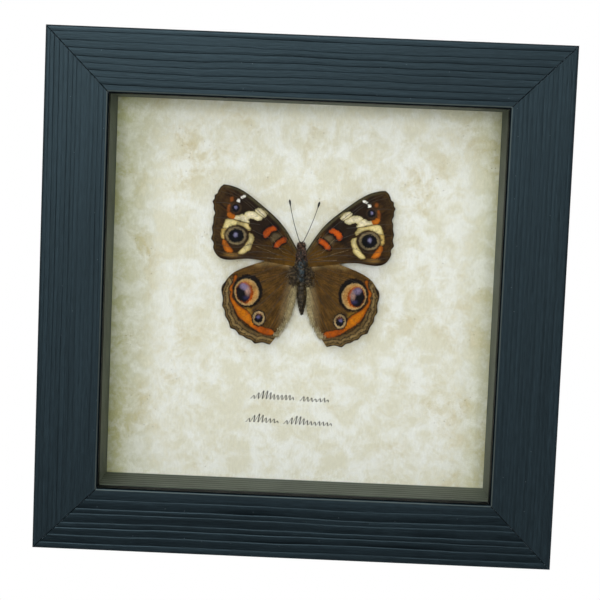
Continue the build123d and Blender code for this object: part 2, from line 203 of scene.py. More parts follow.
def mottledParchmentCard():
    # Cream card printed like parchment: upright fibres, tan blotches, olive towards the edges that is partly
    # print and partly painted shade, pale clouds over both, and a few specks
    look = {"paper": "#DBD7C3", "tan": "#C8B98C", "cloud": "#EBEBE6", "edge": "#868A42", "speck": "#5B5136",
            "cloudSize": 5.5, "blotchSize": 13, "fibreSize": 0.5, "fibreStretch": 0.3,
            "fibreTone": (0.95, 1.05), "tanSpan": (0.54, 0.76), "tanShare": 0.8, "tanAtEdge": 0.12,
            "cloudSpan": (0.42, 0.6), "cloudShare": 0.85, "cloudLoss": -0.45,
            "speckSpacing": 1.7, "speckSize": 0.09, "speckAbove": 0.58, "speckShare": 0.6}
    # the plain middle stands this far to the right and below, and is flattened, with rounded corners, so the
    # olive and painted shade reach furthest in at the left and top; the rest is where the olive ends and how
    # wide its fade is, all in mm but the shares
    border = {"right": 2.5, "below": 3, "flat": 0.82, "rounding": 26, "uneven": 26, "covered": 6,
              "full": 17.5, "width": 17.0, "share": 0.95}
    material, tree = newMaterial("mottledParchmentCard", Roughness=0.85)
    place = addNode(tree, "TexCoord").outputs["Object"]
    clouds = addNode(tree, "TexNoise", {"Vector": place, "Scale": 1 / look["cloudSize"] / mm, "Detail": 9.0,
                                        "Roughness": 0.7, "Distortion": 0.3}).outputs[0]
    blotches = addNode(tree, "TexNoise", {"Vector": place, "Scale": 1 / look["blotchSize"] / mm,
                                          "Detail": 8.0, "Roughness": 0.62, "Distortion": 0.6}).outputs[0]
    upright = addNode(tree, "Mapping", {"Vector": place, "Scale": (1, 1, look["fibreStretch"])})
    fibres = addNode(tree, "TexNoise", {"Vector": upright.outputs[0], "Scale": 1 / look["fibreSize"] / mm,
                                        "Detail": 3.0}).outputs[0]
    split = addNode(tree, "SeparateXYZ", {0: place})
    shifted = addNode(tree, "Math", {0: split.outputs[2], 1: border["flat"],
                                     2: (border["below"] - centreZ) * border["flat"] * mm},
                      operation="MULTIPLY_ADD")
    aside = addNode(tree, "Math", {0: split.outputs[0], 1: border["right"] * mm}, operation="SUBTRACT")
    across = addNode(tree, "Math", {0: aside.outputs[0]}, operation="ABSOLUTE")
    upDown = addNode(tree, "Math", {0: shifted.outputs[0]}, operation="ABSOLUTE")
    out = addNode(tree, "Math", {0: across.outputs[0], 1: upDown.outputs[0], 2: border["rounding"] * mm},
                  operation="SMOOTH_MAX")
    uneven = addNode(tree, "Math", {0: clouds, 1: border["uneven"] * mm, 2: out.outputs[0]},
                     operation="MULTIPLY_ADD")
    shownHalf = (cardHigh.x - cardLow.x) / 2 - border["covered"] * mm
    nearEdge = addNode(tree, "MapRange", {
        "Value": uneven.outputs[0], "From Max": shownHalf + border["full"] * mm,
        "From Min": shownHalf + (border["full"] - border["width"]) * mm}).outputs[0]
    blotched = addNode(tree, "Math", {0: nearEdge, 1: look["tanAtEdge"], 2: blotches},
                       operation="MULTIPLY_ADD")
    tanShare = addNode(tree, "MapRange", {"Value": blotched.outputs[0], "From Min": look["tanSpan"][0],
                                          "From Max": look["tanSpan"][1], "To Max": look["tanShare"]})
    tanned = addNode(tree, "Mix", {"Factor": tanShare.outputs[0], 6: linear(look["paper"]),
                                   7: linear(look["tan"])}, data_type="RGBA")
    # painted shade and the print's olive: the colour turns olive towards the card's edges
    oliveAndShadeShare = addNode(tree, "Math", {0: nearEdge, 1: border["share"]}, operation="MULTIPLY")
    oliveAndShaded = addNode(tree, "Mix", {"Factor": oliveAndShadeShare.outputs[0], 6: tanned.outputs[2],
                                  7: linear(look["edge"])}, data_type="RGBA")
    cloudShare = addNode(tree, "MapRange", {"Value": clouds, "From Min": look["cloudSpan"][0],
                                            "From Max": look["cloudSpan"][1], "To Max": look["cloudShare"]})
    thinner = addNode(tree, "Math", {0: nearEdge, 1: look["cloudLoss"], 2: 1.0}, operation="MULTIPLY_ADD")
    cloudAmount = addNode(tree, "Math", {0: cloudShare.outputs[0], 1: thinner.outputs[0]},
                          operation="MULTIPLY")
    clouded = addNode(tree, "Mix", {"Factor": cloudAmount.outputs[0], 6: oliveAndShaded.outputs[2],
                                    7: linear(look["cloud"])}, data_type="RGBA")
    fibreTone = addNode(tree, "MapRange", {"Value": fibres, "From Min": 0.3, "From Max": 0.7,
                                           "To Min": look["fibreTone"][0], "To Max": look["fibreTone"][1]})
    fibred = addNode(tree, "HueSaturation", {"Value": fibreTone.outputs[0], "Color": clouded.outputs[2]})
    cells = addNode(tree, "TexVoronoi", {"Vector": place, "Scale": 1 / look["speckSpacing"] / mm})
    small = addNode(tree, "Math", {0: cells.outputs["Distance"], 1: look["speckSize"]}, operation="LESS_THAN")
    rare = addNode(tree, "Math", {0: blotches, 1: look["speckAbove"]}, operation="GREATER_THAN")
    speck = addNode(tree, "Math", {0: small.outputs[0], 1: rare.outputs[0]}, operation="MULTIPLY")
    faint = addNode(tree, "Math", {0: speck.outputs[0], 1: look["speckShare"]}, operation="MULTIPLY")
    colour = addNode(tree, "Mix", {"Factor": faint.outputs[0], 6: fibred.outputs[0],
                                   7: linear(look["speck"])},
                     data_type="RGBA")
    relief = addNode(tree, "Bump", {"Height": fibres, "Strength": 0.25, "Distance": 0.05 * mm})
    return finished(material, Base_Color=colour.outputs[2], Normal=relief.outputs[0])


def pressedHardboard():
    # Tempered hardboard, smooth side out: brown, mottled by its fibres, with a dull polish
    look = {"board": "#6F4E30", "dark": "#65462B", "fibre": "#8F6C46", "fibreSize": 0.6, "mottle": 3.0,
            "mottleSpan": (0.35, 0.65), "fleckSpan": (0.58, 0.75), "fleckShare": 0.6}
    material, tree = newMaterial("pressedHardboard", Roughness=0.55)
    place = addNode(tree, "TexCoord").outputs["Object"]
    mottle = addNode(tree, "TexNoise", {"Vector": place, "Scale": 1 / look["mottle"] / mm, "Detail": 5.0})
    fibres = addNode(tree, "TexNoise", {"Vector": place, "Scale": 1 / look["fibreSize"] / mm, "Detail": 4.0,
                                        "Distortion": 1.5}).outputs[0]
    tone = addNode(tree, "MapRange", {"Value": mottle.outputs[0], "From Min": look["mottleSpan"][0],
                                      "From Max": look["mottleSpan"][1]})
    base = addNode(tree, "Mix", {"Factor": tone.outputs[0], 6: linear(look["dark"]),
                                 7: linear(look["board"])}, data_type="RGBA")
    fleck = addNode(tree, "MapRange", {"Value": fibres, "From Min": look["fleckSpan"][0],
                                       "From Max": look["fleckSpan"][1], "To Max": look["fleckShare"]})
    colour = addNode(tree, "Mix", {"Factor": fleck.outputs[0], 6: base.outputs[2], 7: linear(look["fibre"])},
                     data_type="RGBA")
    relief = addNode(tree, "Bump", {"Height": fibres, "Strength": 0.3, "Distance": 0.08 * mm})
    return finished(material, Base_Color=colour.outputs[2], Normal=relief.outputs[0])


def platedMetal(name, colour, dull, roughness, brushing):
    # Plated pressed metal: a soft mottle in the plating and fine drawing lines, brushing their size in mm
    look = {"mottle": 2.2, "smoother": 0.1, "rougher": 0.15}
    material, tree = newMaterial(name, Metallic=1.0, Roughness=roughness)
    place = addNode(tree, "TexCoord").outputs["Object"]
    mottle = addNode(tree, "TexNoise", {"Vector": place, "Scale": 1 / look["mottle"] / mm,
                                        "Detail": 4.0}).outputs[0]
    lines = addNode(tree, "Mapping", {"Vector": place, "Scale": tuple(1 / size / mm for size in brushing)})
    scratch = addNode(tree, "TexNoise", {"Vector": lines.outputs[0], "Scale": 1.0, "Detail": 2.0})
    base = addNode(tree, "Mix", {"Factor": mottle, 6: linear(colour), 7: linear(dull)}, data_type="RGBA")
    rough = addNode(tree, "MapRange", {"Value": mottle, "To Min": roughness - look["smoother"],
                                       "To Max": roughness + look["rougher"]})
    relief = addNode(tree, "Bump", {"Height": scratch.outputs[0], "Strength": 0.2, "Distance": 0.02 * mm})
    return finished(material, Base_Color=base.outputs[2], Roughness=rough.outputs[0],
                    Normal=relief.outputs[0])


def twoTones(name, texture, size, tones, span=None, pattern=None, relief=None, **surface):
    # the plainer materials: a texture of this size in mm leads from one tone to the other, within the span
    # of its values where that is given; relief is (strength, depth in mm, whether it is turned inwards)
    material, tree = newMaterial(name, **surface)
    place = addNode(tree, "TexCoord").outputs["Object"]
    height = addNode(tree, texture, {"Vector": place, "Scale": 1 / size / mm, **(pattern or {})}).outputs[0]
    share = height
    if span:
        share = addNode(tree, "MapRange", {"Value": height, "From Min": span[0],
                                           "From Max": span[1]}).outputs[0]
    colour = addNode(tree, "Mix", {"Factor": share, 6: linear(tones[0]), 7: linear(tones[1])},
                     data_type="RGBA")
    finished(material, Base_Color=colour.outputs[2])
    if relief:
        strength, depth, inwards = relief
        bump = addNode(tree, "Bump", {"Height": height, "Strength": strength, "Distance": depth * mm},
                       invert=inwards)
        finished(material, Normal=bump.outputs[0])
    return material


def whiteFoamBoard():
    # Extruded foam between papers: white, with a fine open cell at its cut edge
    return twoTones("whiteFoamBoard", "TexVoronoi", 0.5, ("#E9E8E2", "#D8D6CC"), Roughness=0.8)


def agglomeratedCork():
    # Cork granules pressed together: tan with dark joints
    return twoTones("agglomeratedCork", "TexVoronoi", 0.7, ("#A97F52", "#5C3E22"), Roughness=0.9)


def pressedFelt():
    # Black wool felt: matt, with lighter fibres lying every way
    return twoTones("pressedFelt", "TexNoise", 0.35, ("#121213", "#34343A"), (0.4, 0.7),
                    {"Detail": 4.0, "Distortion": 2.0}, (0.8, 0.1, False), Roughness=0.95, Sheen_Weight=0.4)


def facettedEye():
    # Compound eye: hexagonal lenses under a clear hard skin
    return twoTones("facettedEye", "TexVoronoi", 0.09, ("#3A2417", "#120B08"), relief=(0.6, 0.02, True),
                    Roughness=0.25, Coat_Weight=0.6, Coat_Roughness=0.1)


def hairMaterial(name, root, tip):
    # Fine insect hair: keratin-like, a little lighter from hair to hair
    return twoTones(name, "TexNoise", 0.6, (root, tip), (0.46, 0.64), {"Detail": 2.0}, Roughness=0.55)


def penInk():
    # Grey-brown drawing ink, dry and matt, thinner here and there
    return twoTones("penInk", "TexNoise", 1.5, ("#1D1C14", "#3B392B"), pattern={"Detail": 2.0}, Roughness=0.8)


def hairedCuticle(name, dark, light, paintedGlint, speckSize, roughness=0.6):
    # Insect cuticle under short hair, its tufts drawn coarser to show: rough and mottled, with a cool
    # glint painted in as a highlight where it is bare, which is along the middle of the back and behind the
    # collar
    look = {"patchSize": 0.9, "speckSpan": (0.44, 0.62), "bareSpan": (0.46, 0.64),
            "bareTo": (0.2, 1.4), "collar": (1.8, 2.8)}  # where the bare stripe fades out, in mm
    material, tree = newMaterial(name, Roughness=roughness, Specular_IOR_Level=0.35)
    place = addNode(tree, "TexCoord").outputs["Object"]
    patches = addNode(tree, "TexNoise", {"Vector": place, "Scale": 1 / look["patchSize"] / mm, "Detail": 3.0,
                                         "Roughness": 0.7})
    hairs = addNode(tree, "TexNoise", {"Vector": place, "Scale": 1 / speckSize / mm, "Detail": 3.0,
                                       "Distortion": 0.6}).outputs[0]
    tone = addNode(tree, "MapRange", {"Value": hairs, "From Min": look["speckSpan"][0],
                                      "From Max": look["speckSpan"][1]})
    base = addNode(tree, "Mix", {"Factor": tone.outputs[0], 6: linear(dark), 7: linear(light)},
                   data_type="RGBA")
    split = addNode(tree, "SeparateXYZ", {0: place})
    aside = addNode(tree, "Math", {0: split.outputs[0], 1: specimenX * mm}, operation="SUBTRACT")
    away = addNode(tree, "Math", {0: aside.outputs[0]}, operation="ABSOLUTE")
    middle = addNode(tree, "MapRange", {"Value": away.outputs[0], "From Min": look["bareTo"][1] * mm,
                                        "From Max": look["bareTo"][0] * mm})
    behind = addNode(tree, "MapRange", {"Value": split.outputs[2],
                                        "From Min": (specimenZ + look["collar"][1]) * mm,
                                        "From Max": (specimenZ + look["collar"][0]) * mm})
    bare = addNode(tree, "MapRange", {"Value": patches.outputs[0], "From Min": look["bareSpan"][0],
                                      "From Max": look["bareSpan"][1]})
    where = addNode(tree, "Math", {0: middle.outputs[0], 1: behind.outputs[0]}, operation="MULTIPLY")
    share = addNode(tree, "Math", {0: where.outputs[0], 1: bare.outputs[0]}, operation="MULTIPLY")
    # painted highlight: the glint colour laid over the bare patches
    colour = addNode(tree, "Mix", {"Factor": share.outputs[0], 6: base.outputs[2], 7: linear(paintedGlint)},
                     data_type="RGBA")
    relief = addNode(tree, "Bump", {"Height": hairs, "Strength": 0.9, "Distance": 0.12 * mm})
    return finished(material, Base_Color=colour.outputs[2], Normal=relief.outputs[0])


def scaledWing(name, layers, ground, streak):
    # Wing scales, about 0.1 mm each and drawn at 0.4 mm to show: matt rows along the veins.
    # Each layer takes the distance in mm from a drawn mark and paints what lies inside it.
    look = {"rowWidth": 0.3, "rowLength": 3.5, "scaleSize": 0.4, "patchSize": 2.4, "ragged": 0.24,
            "streakSpan": (0.38, 0.66), "shadeSpan": (0.72, 1.28), "shade": (0.5, 1.46), "saturation": 1.05}
    material, tree = newMaterial(name, Roughness=0.75, Specular_IOR_Level=0.14)
    place = addNode(tree, "TexCoord").outputs["Object"]
    rows = addNode(tree, "UVMap", uv_map="scaleRows").outputs[0]
    drawn = addNode(tree, "Mapping", {"Vector": rows,
                                      "Scale": (1 / look["rowWidth"], 1 / look["rowLength"], 1)})
    streaks = addNode(tree, "TexNoise", {"Vector": drawn.outputs[0], "Scale": 1.0, "Detail": 4.0})
    scales = addNode(tree, "TexNoise", {"Vector": place, "Scale": 1 / look["scaleSize"] / mm, "Detail": 2.0,
                                        "Roughness": 0.7}).outputs[0]
    patches = addNode(tree, "TexNoise", {"Vector": place, "Scale": 1 / look["patchSize"] / mm, "Detail": 3.0})
    ragged = addNode(tree, "MapRange", {"Value": scales, "From Min": 0.3, "From Max": 0.7,
                                        "To Min": -look["ragged"], "To Max": look["ragged"]})
    tone = addNode(tree, "MapRange", {"Value": streaks.outputs[0], "From Min": look["streakSpan"][0],
                                      "From Max": look["streakSpan"][1]})
    colour = addNode(tree, "Mix", {"Factor": tone.outputs[0], 6: linear(ground), 7: linear(streak)},
                     data_type="RGBA").outputs[2]
    for mark, grow, soft, share, paint in layers:
        distance = addNode(tree, "Attribute", attribute_name=mark)
        wavering = addNode(tree, "Math", {0: distance.outputs["Fac"], 1: ragged.outputs[0]})
        inside = addNode(tree, "MapRange", {"Value": wavering.outputs[0], "From Min": grow + soft,
                                            "From Max": grow - soft, "To Max": share},
                         interpolation_type="SMOOTHSTEP")
        colour = addNode(tree, "Mix", {"Factor": inside.outputs[0], 6: colour, 7: linear(paint)},
                         data_type="RGBA").outputs[2]
    mottle = addNode(tree, "Math", {0: scales, 1: patches.outputs[0]}, operation="ADD")
    bright = addNode(tree, "MapRange", {
        "Value": mottle.outputs[0], "From Min": look["shadeSpan"][0], "From Max": look["shadeSpan"][1],
        "To Min": look["shade"][0], "To Max": look["shade"][1]})
    varied = addNode(tree, "HueSaturation", {"Saturation": look["saturation"], "Value": bright.outputs[0],
                                             "Color": colour})
    relief = addNode(tree, "Bump", {"Height": scales, "Strength": 0.5, "Distance": 0.05 * mm})
    return finished(material, Base_Color=varied.outputs[0], Normal=relief.outputs[0])


# Pieces: a finished bmesh becomes an object that rides on its body

def newPiece(name, bm, material, body="root", stands=(), sharpAngle=40):
    mesh = bpy.data.meshes.new(name)
    bm.to_mesh(mesh)
    bm.free()
    mesh.materials.append(material)
    mesh.shade_smooth()
    mesh.set_sharp_from_angle(angle=math.radians(sharpAngle))
    piece = bpy.data.objects.new(name, mesh)
    bpy.context.scene.collection.objects.link(piece)
    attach(piece, body)
    if stands:
        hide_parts(*stands)
    return piece


def nodeCopy(name):
    # a CAD node's triangles as one joined mesh, with its flat faces whole again
    bm = bmesh.new()
    bm.from_mesh(nodes[name].data)
    bmesh.ops.remove_doubles(bm, verts=bm.verts, dist=0.0005 * mm)
    return bm


def softened(node, name, width, material, body):
    # a copy of a CAD node with its sharp edges rolled over
    bm = nodeCopy(node)
    bmesh.ops.dissolve_limit(bm, angle_limit=math.radians(1), verts=bm.verts, edges=bm.edges)
    sharp = [edge for edge in bm.edges if edge.is_manifold and edge.calc_face_angle() > math.radians(33)]
    bmesh.ops.bevel(bm, geom=sharp, offset=width * mm, offset_type="OFFSET", segments=2, profile=0.5,
                    affect="EDGES", clamp_overlap=True, material=-1)
    bmesh.ops.triangulate(bm, faces=[face for face in bm.faces if len(face.verts) > 4])
    return newPiece(name, bm, material, body, [node], 30)


def joinedCurves(name, strands, material, roundness):
    # strands of (point, radius) as one mesh of thin tapered tubes
    curve = bpy.data.curves.new(name, "CURVE")
    curve.dimensions = "3D"
    curve.bevel_depth = 1.0
    curve.bevel_resolution = roundness
    curve.resolution_u = 8
    curve.use_fill_caps = True
    for strand in strands:
        line = curve.splines.new("NURBS")
        line.points.add(len(strand) - 1)
        for point, (place, radius) in zip(line.points, strand):
            point.co = (*place, 1)
            point.radius = radius
        line.order_u = 3
        line.use_endpoint_u = True
    holder = bpy.data.objects.new(name + "Line", curve)
    mesh = bpy.data.meshes.new_from_object(holder)
    bm = bmesh.new()
    bm.from_mesh(mesh)
    bpy.data.objects.remove(holder)
    bpy.data.meshes.remove(mesh)
    return newPiece(name, bm, material, "root")


# Mouldings: an L section with open grain, run along its rail and mitred

# An open line of grain, in half widths and depths; and a raised edge, steep above and easing off below
grainCut = ((-1.6, 0), (-1, 0.35), (0, 1), (1, 0.35), (1.6, 0))
grainStep = ((-1, 1), (0, 0.3), (1, -0.2))
# each rail's look gives the grain depth in mm at which the painted shade in the grain is full
railLooks = {
    "bottom_rail": {"turn": 0, "form": grainStep, "pitch": 1.95, "depth": 0.11, "width": 0.32,
                    "between": 0.05, "wander": 0.5, "fullShadeDepth": 0.15, "clear": 1.5, "seed": 4.0},
    "left_stile": {"turn": 90, "form": grainCut, "pitch": 1.3, "depth": 0.06, "width": 0.17, "between": -0.01,
                   "wander": 0.3, "fullShadeDepth": 0.22, "clear": 0.4, "seed": 9.5},
    "top_rail": {"turn": 180, "form": grainCut, "pitch": 2.05, "depth": 0.18, "width": 0.14,
                 "between": -0.012, "wander": 0.7, "fullShadeDepth": 0.14, "clear": 0.9, "seed": 2.3},
    "right_stile": {"turn": 270, "form": grainCut, "pitch": 1.3, "depth": 0.03, "width": 0.13,
                    "between": -0.006, "wander": 0.3, "fullShadeDepth": 0.3, "clear": 0.4, "seed": 6.1}}
# the lip's inner face and the inner half of the sight arris get painted shade, the outer half of the arris a
# painted highlight (values below 0)
railShape = {"outerArris": 0.9, "sightArris": 0.8, "backArris": 0.6, "step": 1.6, "mitreGap": 0.2,
             "gapDepth": 0.35, "lipShade": 1.0, "sightShadeAndHighlight": (1.0, 1.0, 1.0, 1.0, 0.5, -0.6, -0.75),
             "lipProud": 0.45,  # the paint and the rounded arris make the lip this much wider
             "backInset": 0.05, "backGrain": 0.5, "endSway": 1.5, "rim": 0.4, "closest": 0.05}
# How the lines of grain vary: in place, in strength, and as waves of these lengths along and across the rail
grainShape = {"scatter": 0.36, "faintest": 0.45, "stronger": 0.75, "longWave": (42, 9), "shortWave": (9, 6),
              "shortShare": 0.25, "depthWave": (26, 1.7), "shallowest": 0.75, "deeper": 0.9, "apart": 40}


# a point without grain; its last value is painted shade, and below 0 a painted highlight
def plain(y, z, dark=0.0):
    return {"at": (y, z), "inward": (0, 0), "tangent": (0, 0), "depth": 0, "sway": 0, "dark": dark}


def grainedFace(start, end, inward, look, jitter):
    # points from start to end with the look's grain between them; sway fades out at both ends
    length = math.dist(start, end)
    tangent = ((end[0] - start[0]) / length, (end[1] - start[1]) / length)
    points = []
    count = int(length / look["pitch"])
    for line in range(count):
        scatter = (jitter.random() - 0.5) * grainShape["scatter"] * look["pitch"]
        middle = (line + 0.5) * length / count + scatter
        strength = grainShape["faintest"] + grainShape["stronger"] * jitter.random()
        for offset, depth in look["form"]:
            points.append((middle + offset * look["width"] / 2, depth * look["depth"] * strength))
        points.append((middle + 0.5 * look["pitch"], look["between"]))
    kept = [(0.0, 0.0)]
    for at, depth in sorted(p for p in points if look["clear"] < p[0] < length - railShape["rim"]):
        if at - kept[-1][0] > railShape["closest"]:
            kept.append((at, depth))
    kept.append((length, 0.0))
    return [{"at": (start[0] + tangent[0] * at, start[1] + tangent[1] * at), "inward": inward,
             "tangent": tangent, "depth": depth, "dark": 0.0,
             "sway": min(1, min(at, length - at) / railShape["endSway"])} for at, depth in kept]


# the arc's points carry painted shade, and below 0 a painted highlight
def arc(centre, radius, fromAngle, toAngle, paintedLevels=(0.0,) * 7):
    steps = len(paintedLevels) + 1
    angles = [math.radians(fromAngle + (toAngle - fromAngle) * step / steps) for step in range(1, steps)]
    return [plain(centre[0] + radius * math.cos(a), centre[1] + radius * math.sin(a), dark)
            for a, dark in zip(angles, paintedLevels)]


def railSection(look):
    # the bottom rail's outline in (y, z), from the back of the lip round to the rebate
    jitter = random.Random(int(look["seed"] * 10))
    outer, sight, back = railShape["outerArris"], railShape["sightArris"], railShape["backArris"]
    inset = railShape["backInset"]
    lipEdge = faceWidth + railShape["lipProud"]
    front = grainedFace((frontY, lipEdge - sight), (frontY, outer), (1, 0), look, jitter)
    outside = grainedFace((frontY + outer, 0), (backY - back, 0), (0, 1), look, jitter)
    rear = grainedFace((backY - inset, back), (backY - inset, wallThickness), (-1, 0),
                       {**look, "depth": look["depth"] * railShape["backGrain"]}, jitter)
    return ([plain(y, lipEdge, railShape["lipShade"]) for y in (lipBackY, frontY + sight)]
            + arc((frontY + sight, lipEdge - sight), sight, 90, 180, railShape["sightShadeAndHighlight"]) + front
            + arc((frontY + outer, outer), outer, 180, 270) + outside
            + arc((backY - back, back), back - inset, 270, 360) + rear + [plain(lipBackY, wallThickness)])


def closeEnds(bm):
    bmesh.ops.holes_fill(bm, edges=[edge for edge in bm.edges if edge.is_boundary], sides=0)


def rail(node, look, material):
    section = railSection(look)
    bm = bmesh.new()
    which = bm.verts.layers.int.new("which")
    paintedShadeAndHighlight = bm.verts.layers.float.new("paintedShadeAndHighlight")
    ring = [bm.verts.new((-caseSide / 2 * mm, point["at"][0] * mm, point["at"][1] * mm)) for point in section]
    for index, vert in enumerate(ring):
        vert[which] = index
    edges = [bm.edges.new(pair) for pair in zip(ring, ring[1:] + ring[:1])]
    steps = int(caseSide / railShape["step"])
    for step in range(steps):
        grown = bmesh.ops.extrude_edge_only(bm, edges=edges)["geom"]
        verts = [item for item in grown if isinstance(item, bmesh.types.BMVert)]
        fresh = set(verts)
        edges = [item for item in grown if isinstance(item, bmesh.types.BMEdge) and set(item.verts) <= fresh]
        bmesh.ops.translate(bm, verts=verts, vec=(caseSide / steps * mm, 0, 0))
    gaps = [math.dist(a["at"], b["at"]) for a, b in zip(section, section[1:])]
    runs = np.concatenate([[0], np.cumsum(gaps)])
    rows = bm.loops.layers.uv.new("grainRun")
    for face in bm.faces:
        for loop in face.loops:
            run = runs[loop.vert[which]] + grainShape["apart"] * look["seed"]
            loop[rows].uv = (loop.vert.co.x / mm, run)
    for vert in bm.verts:
        point = section[vert[which]]
        x, run = vert.co.x / mm, runs[vert[which]]
        longWave, shortWave, depthWave = (
            noise.noise(Vector((x / grainShape[wave][0], run / grainShape[wave][1], look["seed"] + shift)))
            for wave, shift in (("longWave", 0), ("shortWave", 3), ("depthWave", 7)))
        swing = point["sway"] * look["wander"] * (longWave + grainShape["shortShare"] * shortWave)
        sink = point["depth"] * (grainShape["shallowest"] + grainShape["deeper"] * abs(depthWave))
        # painted shade: a point's own value where given, else darker the deeper the grain
        vert[paintedShadeAndHighlight] = point["dark"] or min(1, max(sink / look["fullShadeDepth"], 0))
        vert.co.y += (point["tangent"][0] * swing + point["inward"][0] * sink) * mm
        vert.co.z += (point["tangent"][1] * swing + point["inward"][1] * sink) * mm
    for side in (-1, 1):
        corner = Vector((side * caseSide / 2 * mm, 0, 0))
        slope = railShape["mitreGap"] / railShape["gapDepth"]
        edgeStart = corner + Vector((0, (frontY + railShape["gapDepth"]) * mm, 0))
        for origin, normal in ((corner, (side, 0, 1)), (edgeStart, (side, -slope, 1))):
            bmesh.ops.bisect_plane(bm, geom=bm.verts[:] + bm.edges[:] + bm.faces[:], dist=0.00001 * mm,
                                   plane_co=origin, plane_no=normal, clear_outer=True)
            closeEnds(bm)
    fromMitre = bm.verts.layers.float.new("fromMitre")
    for vert in bm.verts:
        vert[fromMitre] = (caseSide / 2 - abs(vert.co.x) / mm - vert.co.z / mm) / math.sqrt(2)
    bmesh.ops.recalc_face_normals(bm, faces=bm.faces)
    bmesh.ops.rotate(bm, verts=bm.verts, cent=(0, 0, centreZ * mm),
                     matrix=Matrix.Rotation(math.radians(look["turn"]), 3, "Y"))
    words = node.split("_")
    return newPiece(words[0] + words[1].capitalize() + "Moulding", bm, material, "root",
                    [node], 14)


paint = brushedPaintOnPine()
for node, look in railLooks.items():
    rail(node, look, paint)
print("mouldings done")


# What lies in the rebate keeps its solids and takes its finish

rebateFinishes = {
    "top_spacer": stainedSpacerWood(), "glass_pane": floatGlass(), "parchment_card": mottledParchmentCard(),
    "foam_board": whiteFoamBoard(), "backing_board": pressedHardboard(), "specimen_riser": agglomeratedCork()}
for node in ("bottom_spacer", "left_spacer", "right_spacer"):
    rebateFinishes[node] = rebateFinishes["top_spacer"]
for node, material in rebateFinishes.items():
    nodes[node].data.materials.clear()
    nodes[node].data.materials.append(material)

# each metal's last three numbers are the size of its drawing lines along x, y and z
zinc = platedMetal("zincPlatedSteel", "#B9B7AE", "#8F8D84", 0.38, (0.12, 3.0, 3.0))
brightSteel = platedMetal("brightDrawnSteel", "#A9A9A9", "#7E7E80", 0.35, (2.0, 0.1, 2.0))
brass = platedMetal("brassPlatedStrip", "#C9A24E", "#9A7634", 0.32, (4.0, 0.1, 0.12))
rolledEdges = {"button": 0.16, "screw": 0.14, "hanger": 0.1, "nail": 0.12, "bumper": 0.35}
for level in ("lower", "upper"):
    for side in ("left", "right"):
        softened(f"turn_button_{level}_{side}", f"{level}{side.capitalize()}Button", rolledEdges["button"],
                 zinc, f"button_{level}_{side}")
softened("turn_button_screws", "panHeadScrews", rolledEdges["screw"], zinc, "root")
softened("sawtooth_hanger", "sawtoothStrip", rolledEdges["hanger"], brass, "root")
softened("hanger_nails", "hangerNails", rolledEdges["nail"], brightSteel, "root")
nodes["corner_v_nails"].data.materials.clear()
nodes["corner_v_nails"].data.materials.append(brightSteel)
softened("wall_bumpers", "feltBumpers", rolledEdges["bumper"], pressedFelt(), "root")
print("rebate and hardware done")


# Wings: the skin of each CAD wing, cut into a fine grid, waved between its veins, marked and thickened

# dipReach is how far out of and into the wing a scallop moves its skin; the folds and waves are at their full
# height from foldFrom and waveFrom outwards
wingShape = {"step": 0.25, "thickness": 0.12, "scallop": 0.28, "deeper": 0.12, "apexBow": -0.55,
             "hindBow": -0.33, "dipReach": (-0.5, 1.8), "fold": 0.07, "foldCount": 34, "foldFrom": 12,
             "wave": 0.18, "waveLength": 7, "waveTurns": 2.2, "waveFrom": 8, "rowTurns": 14}

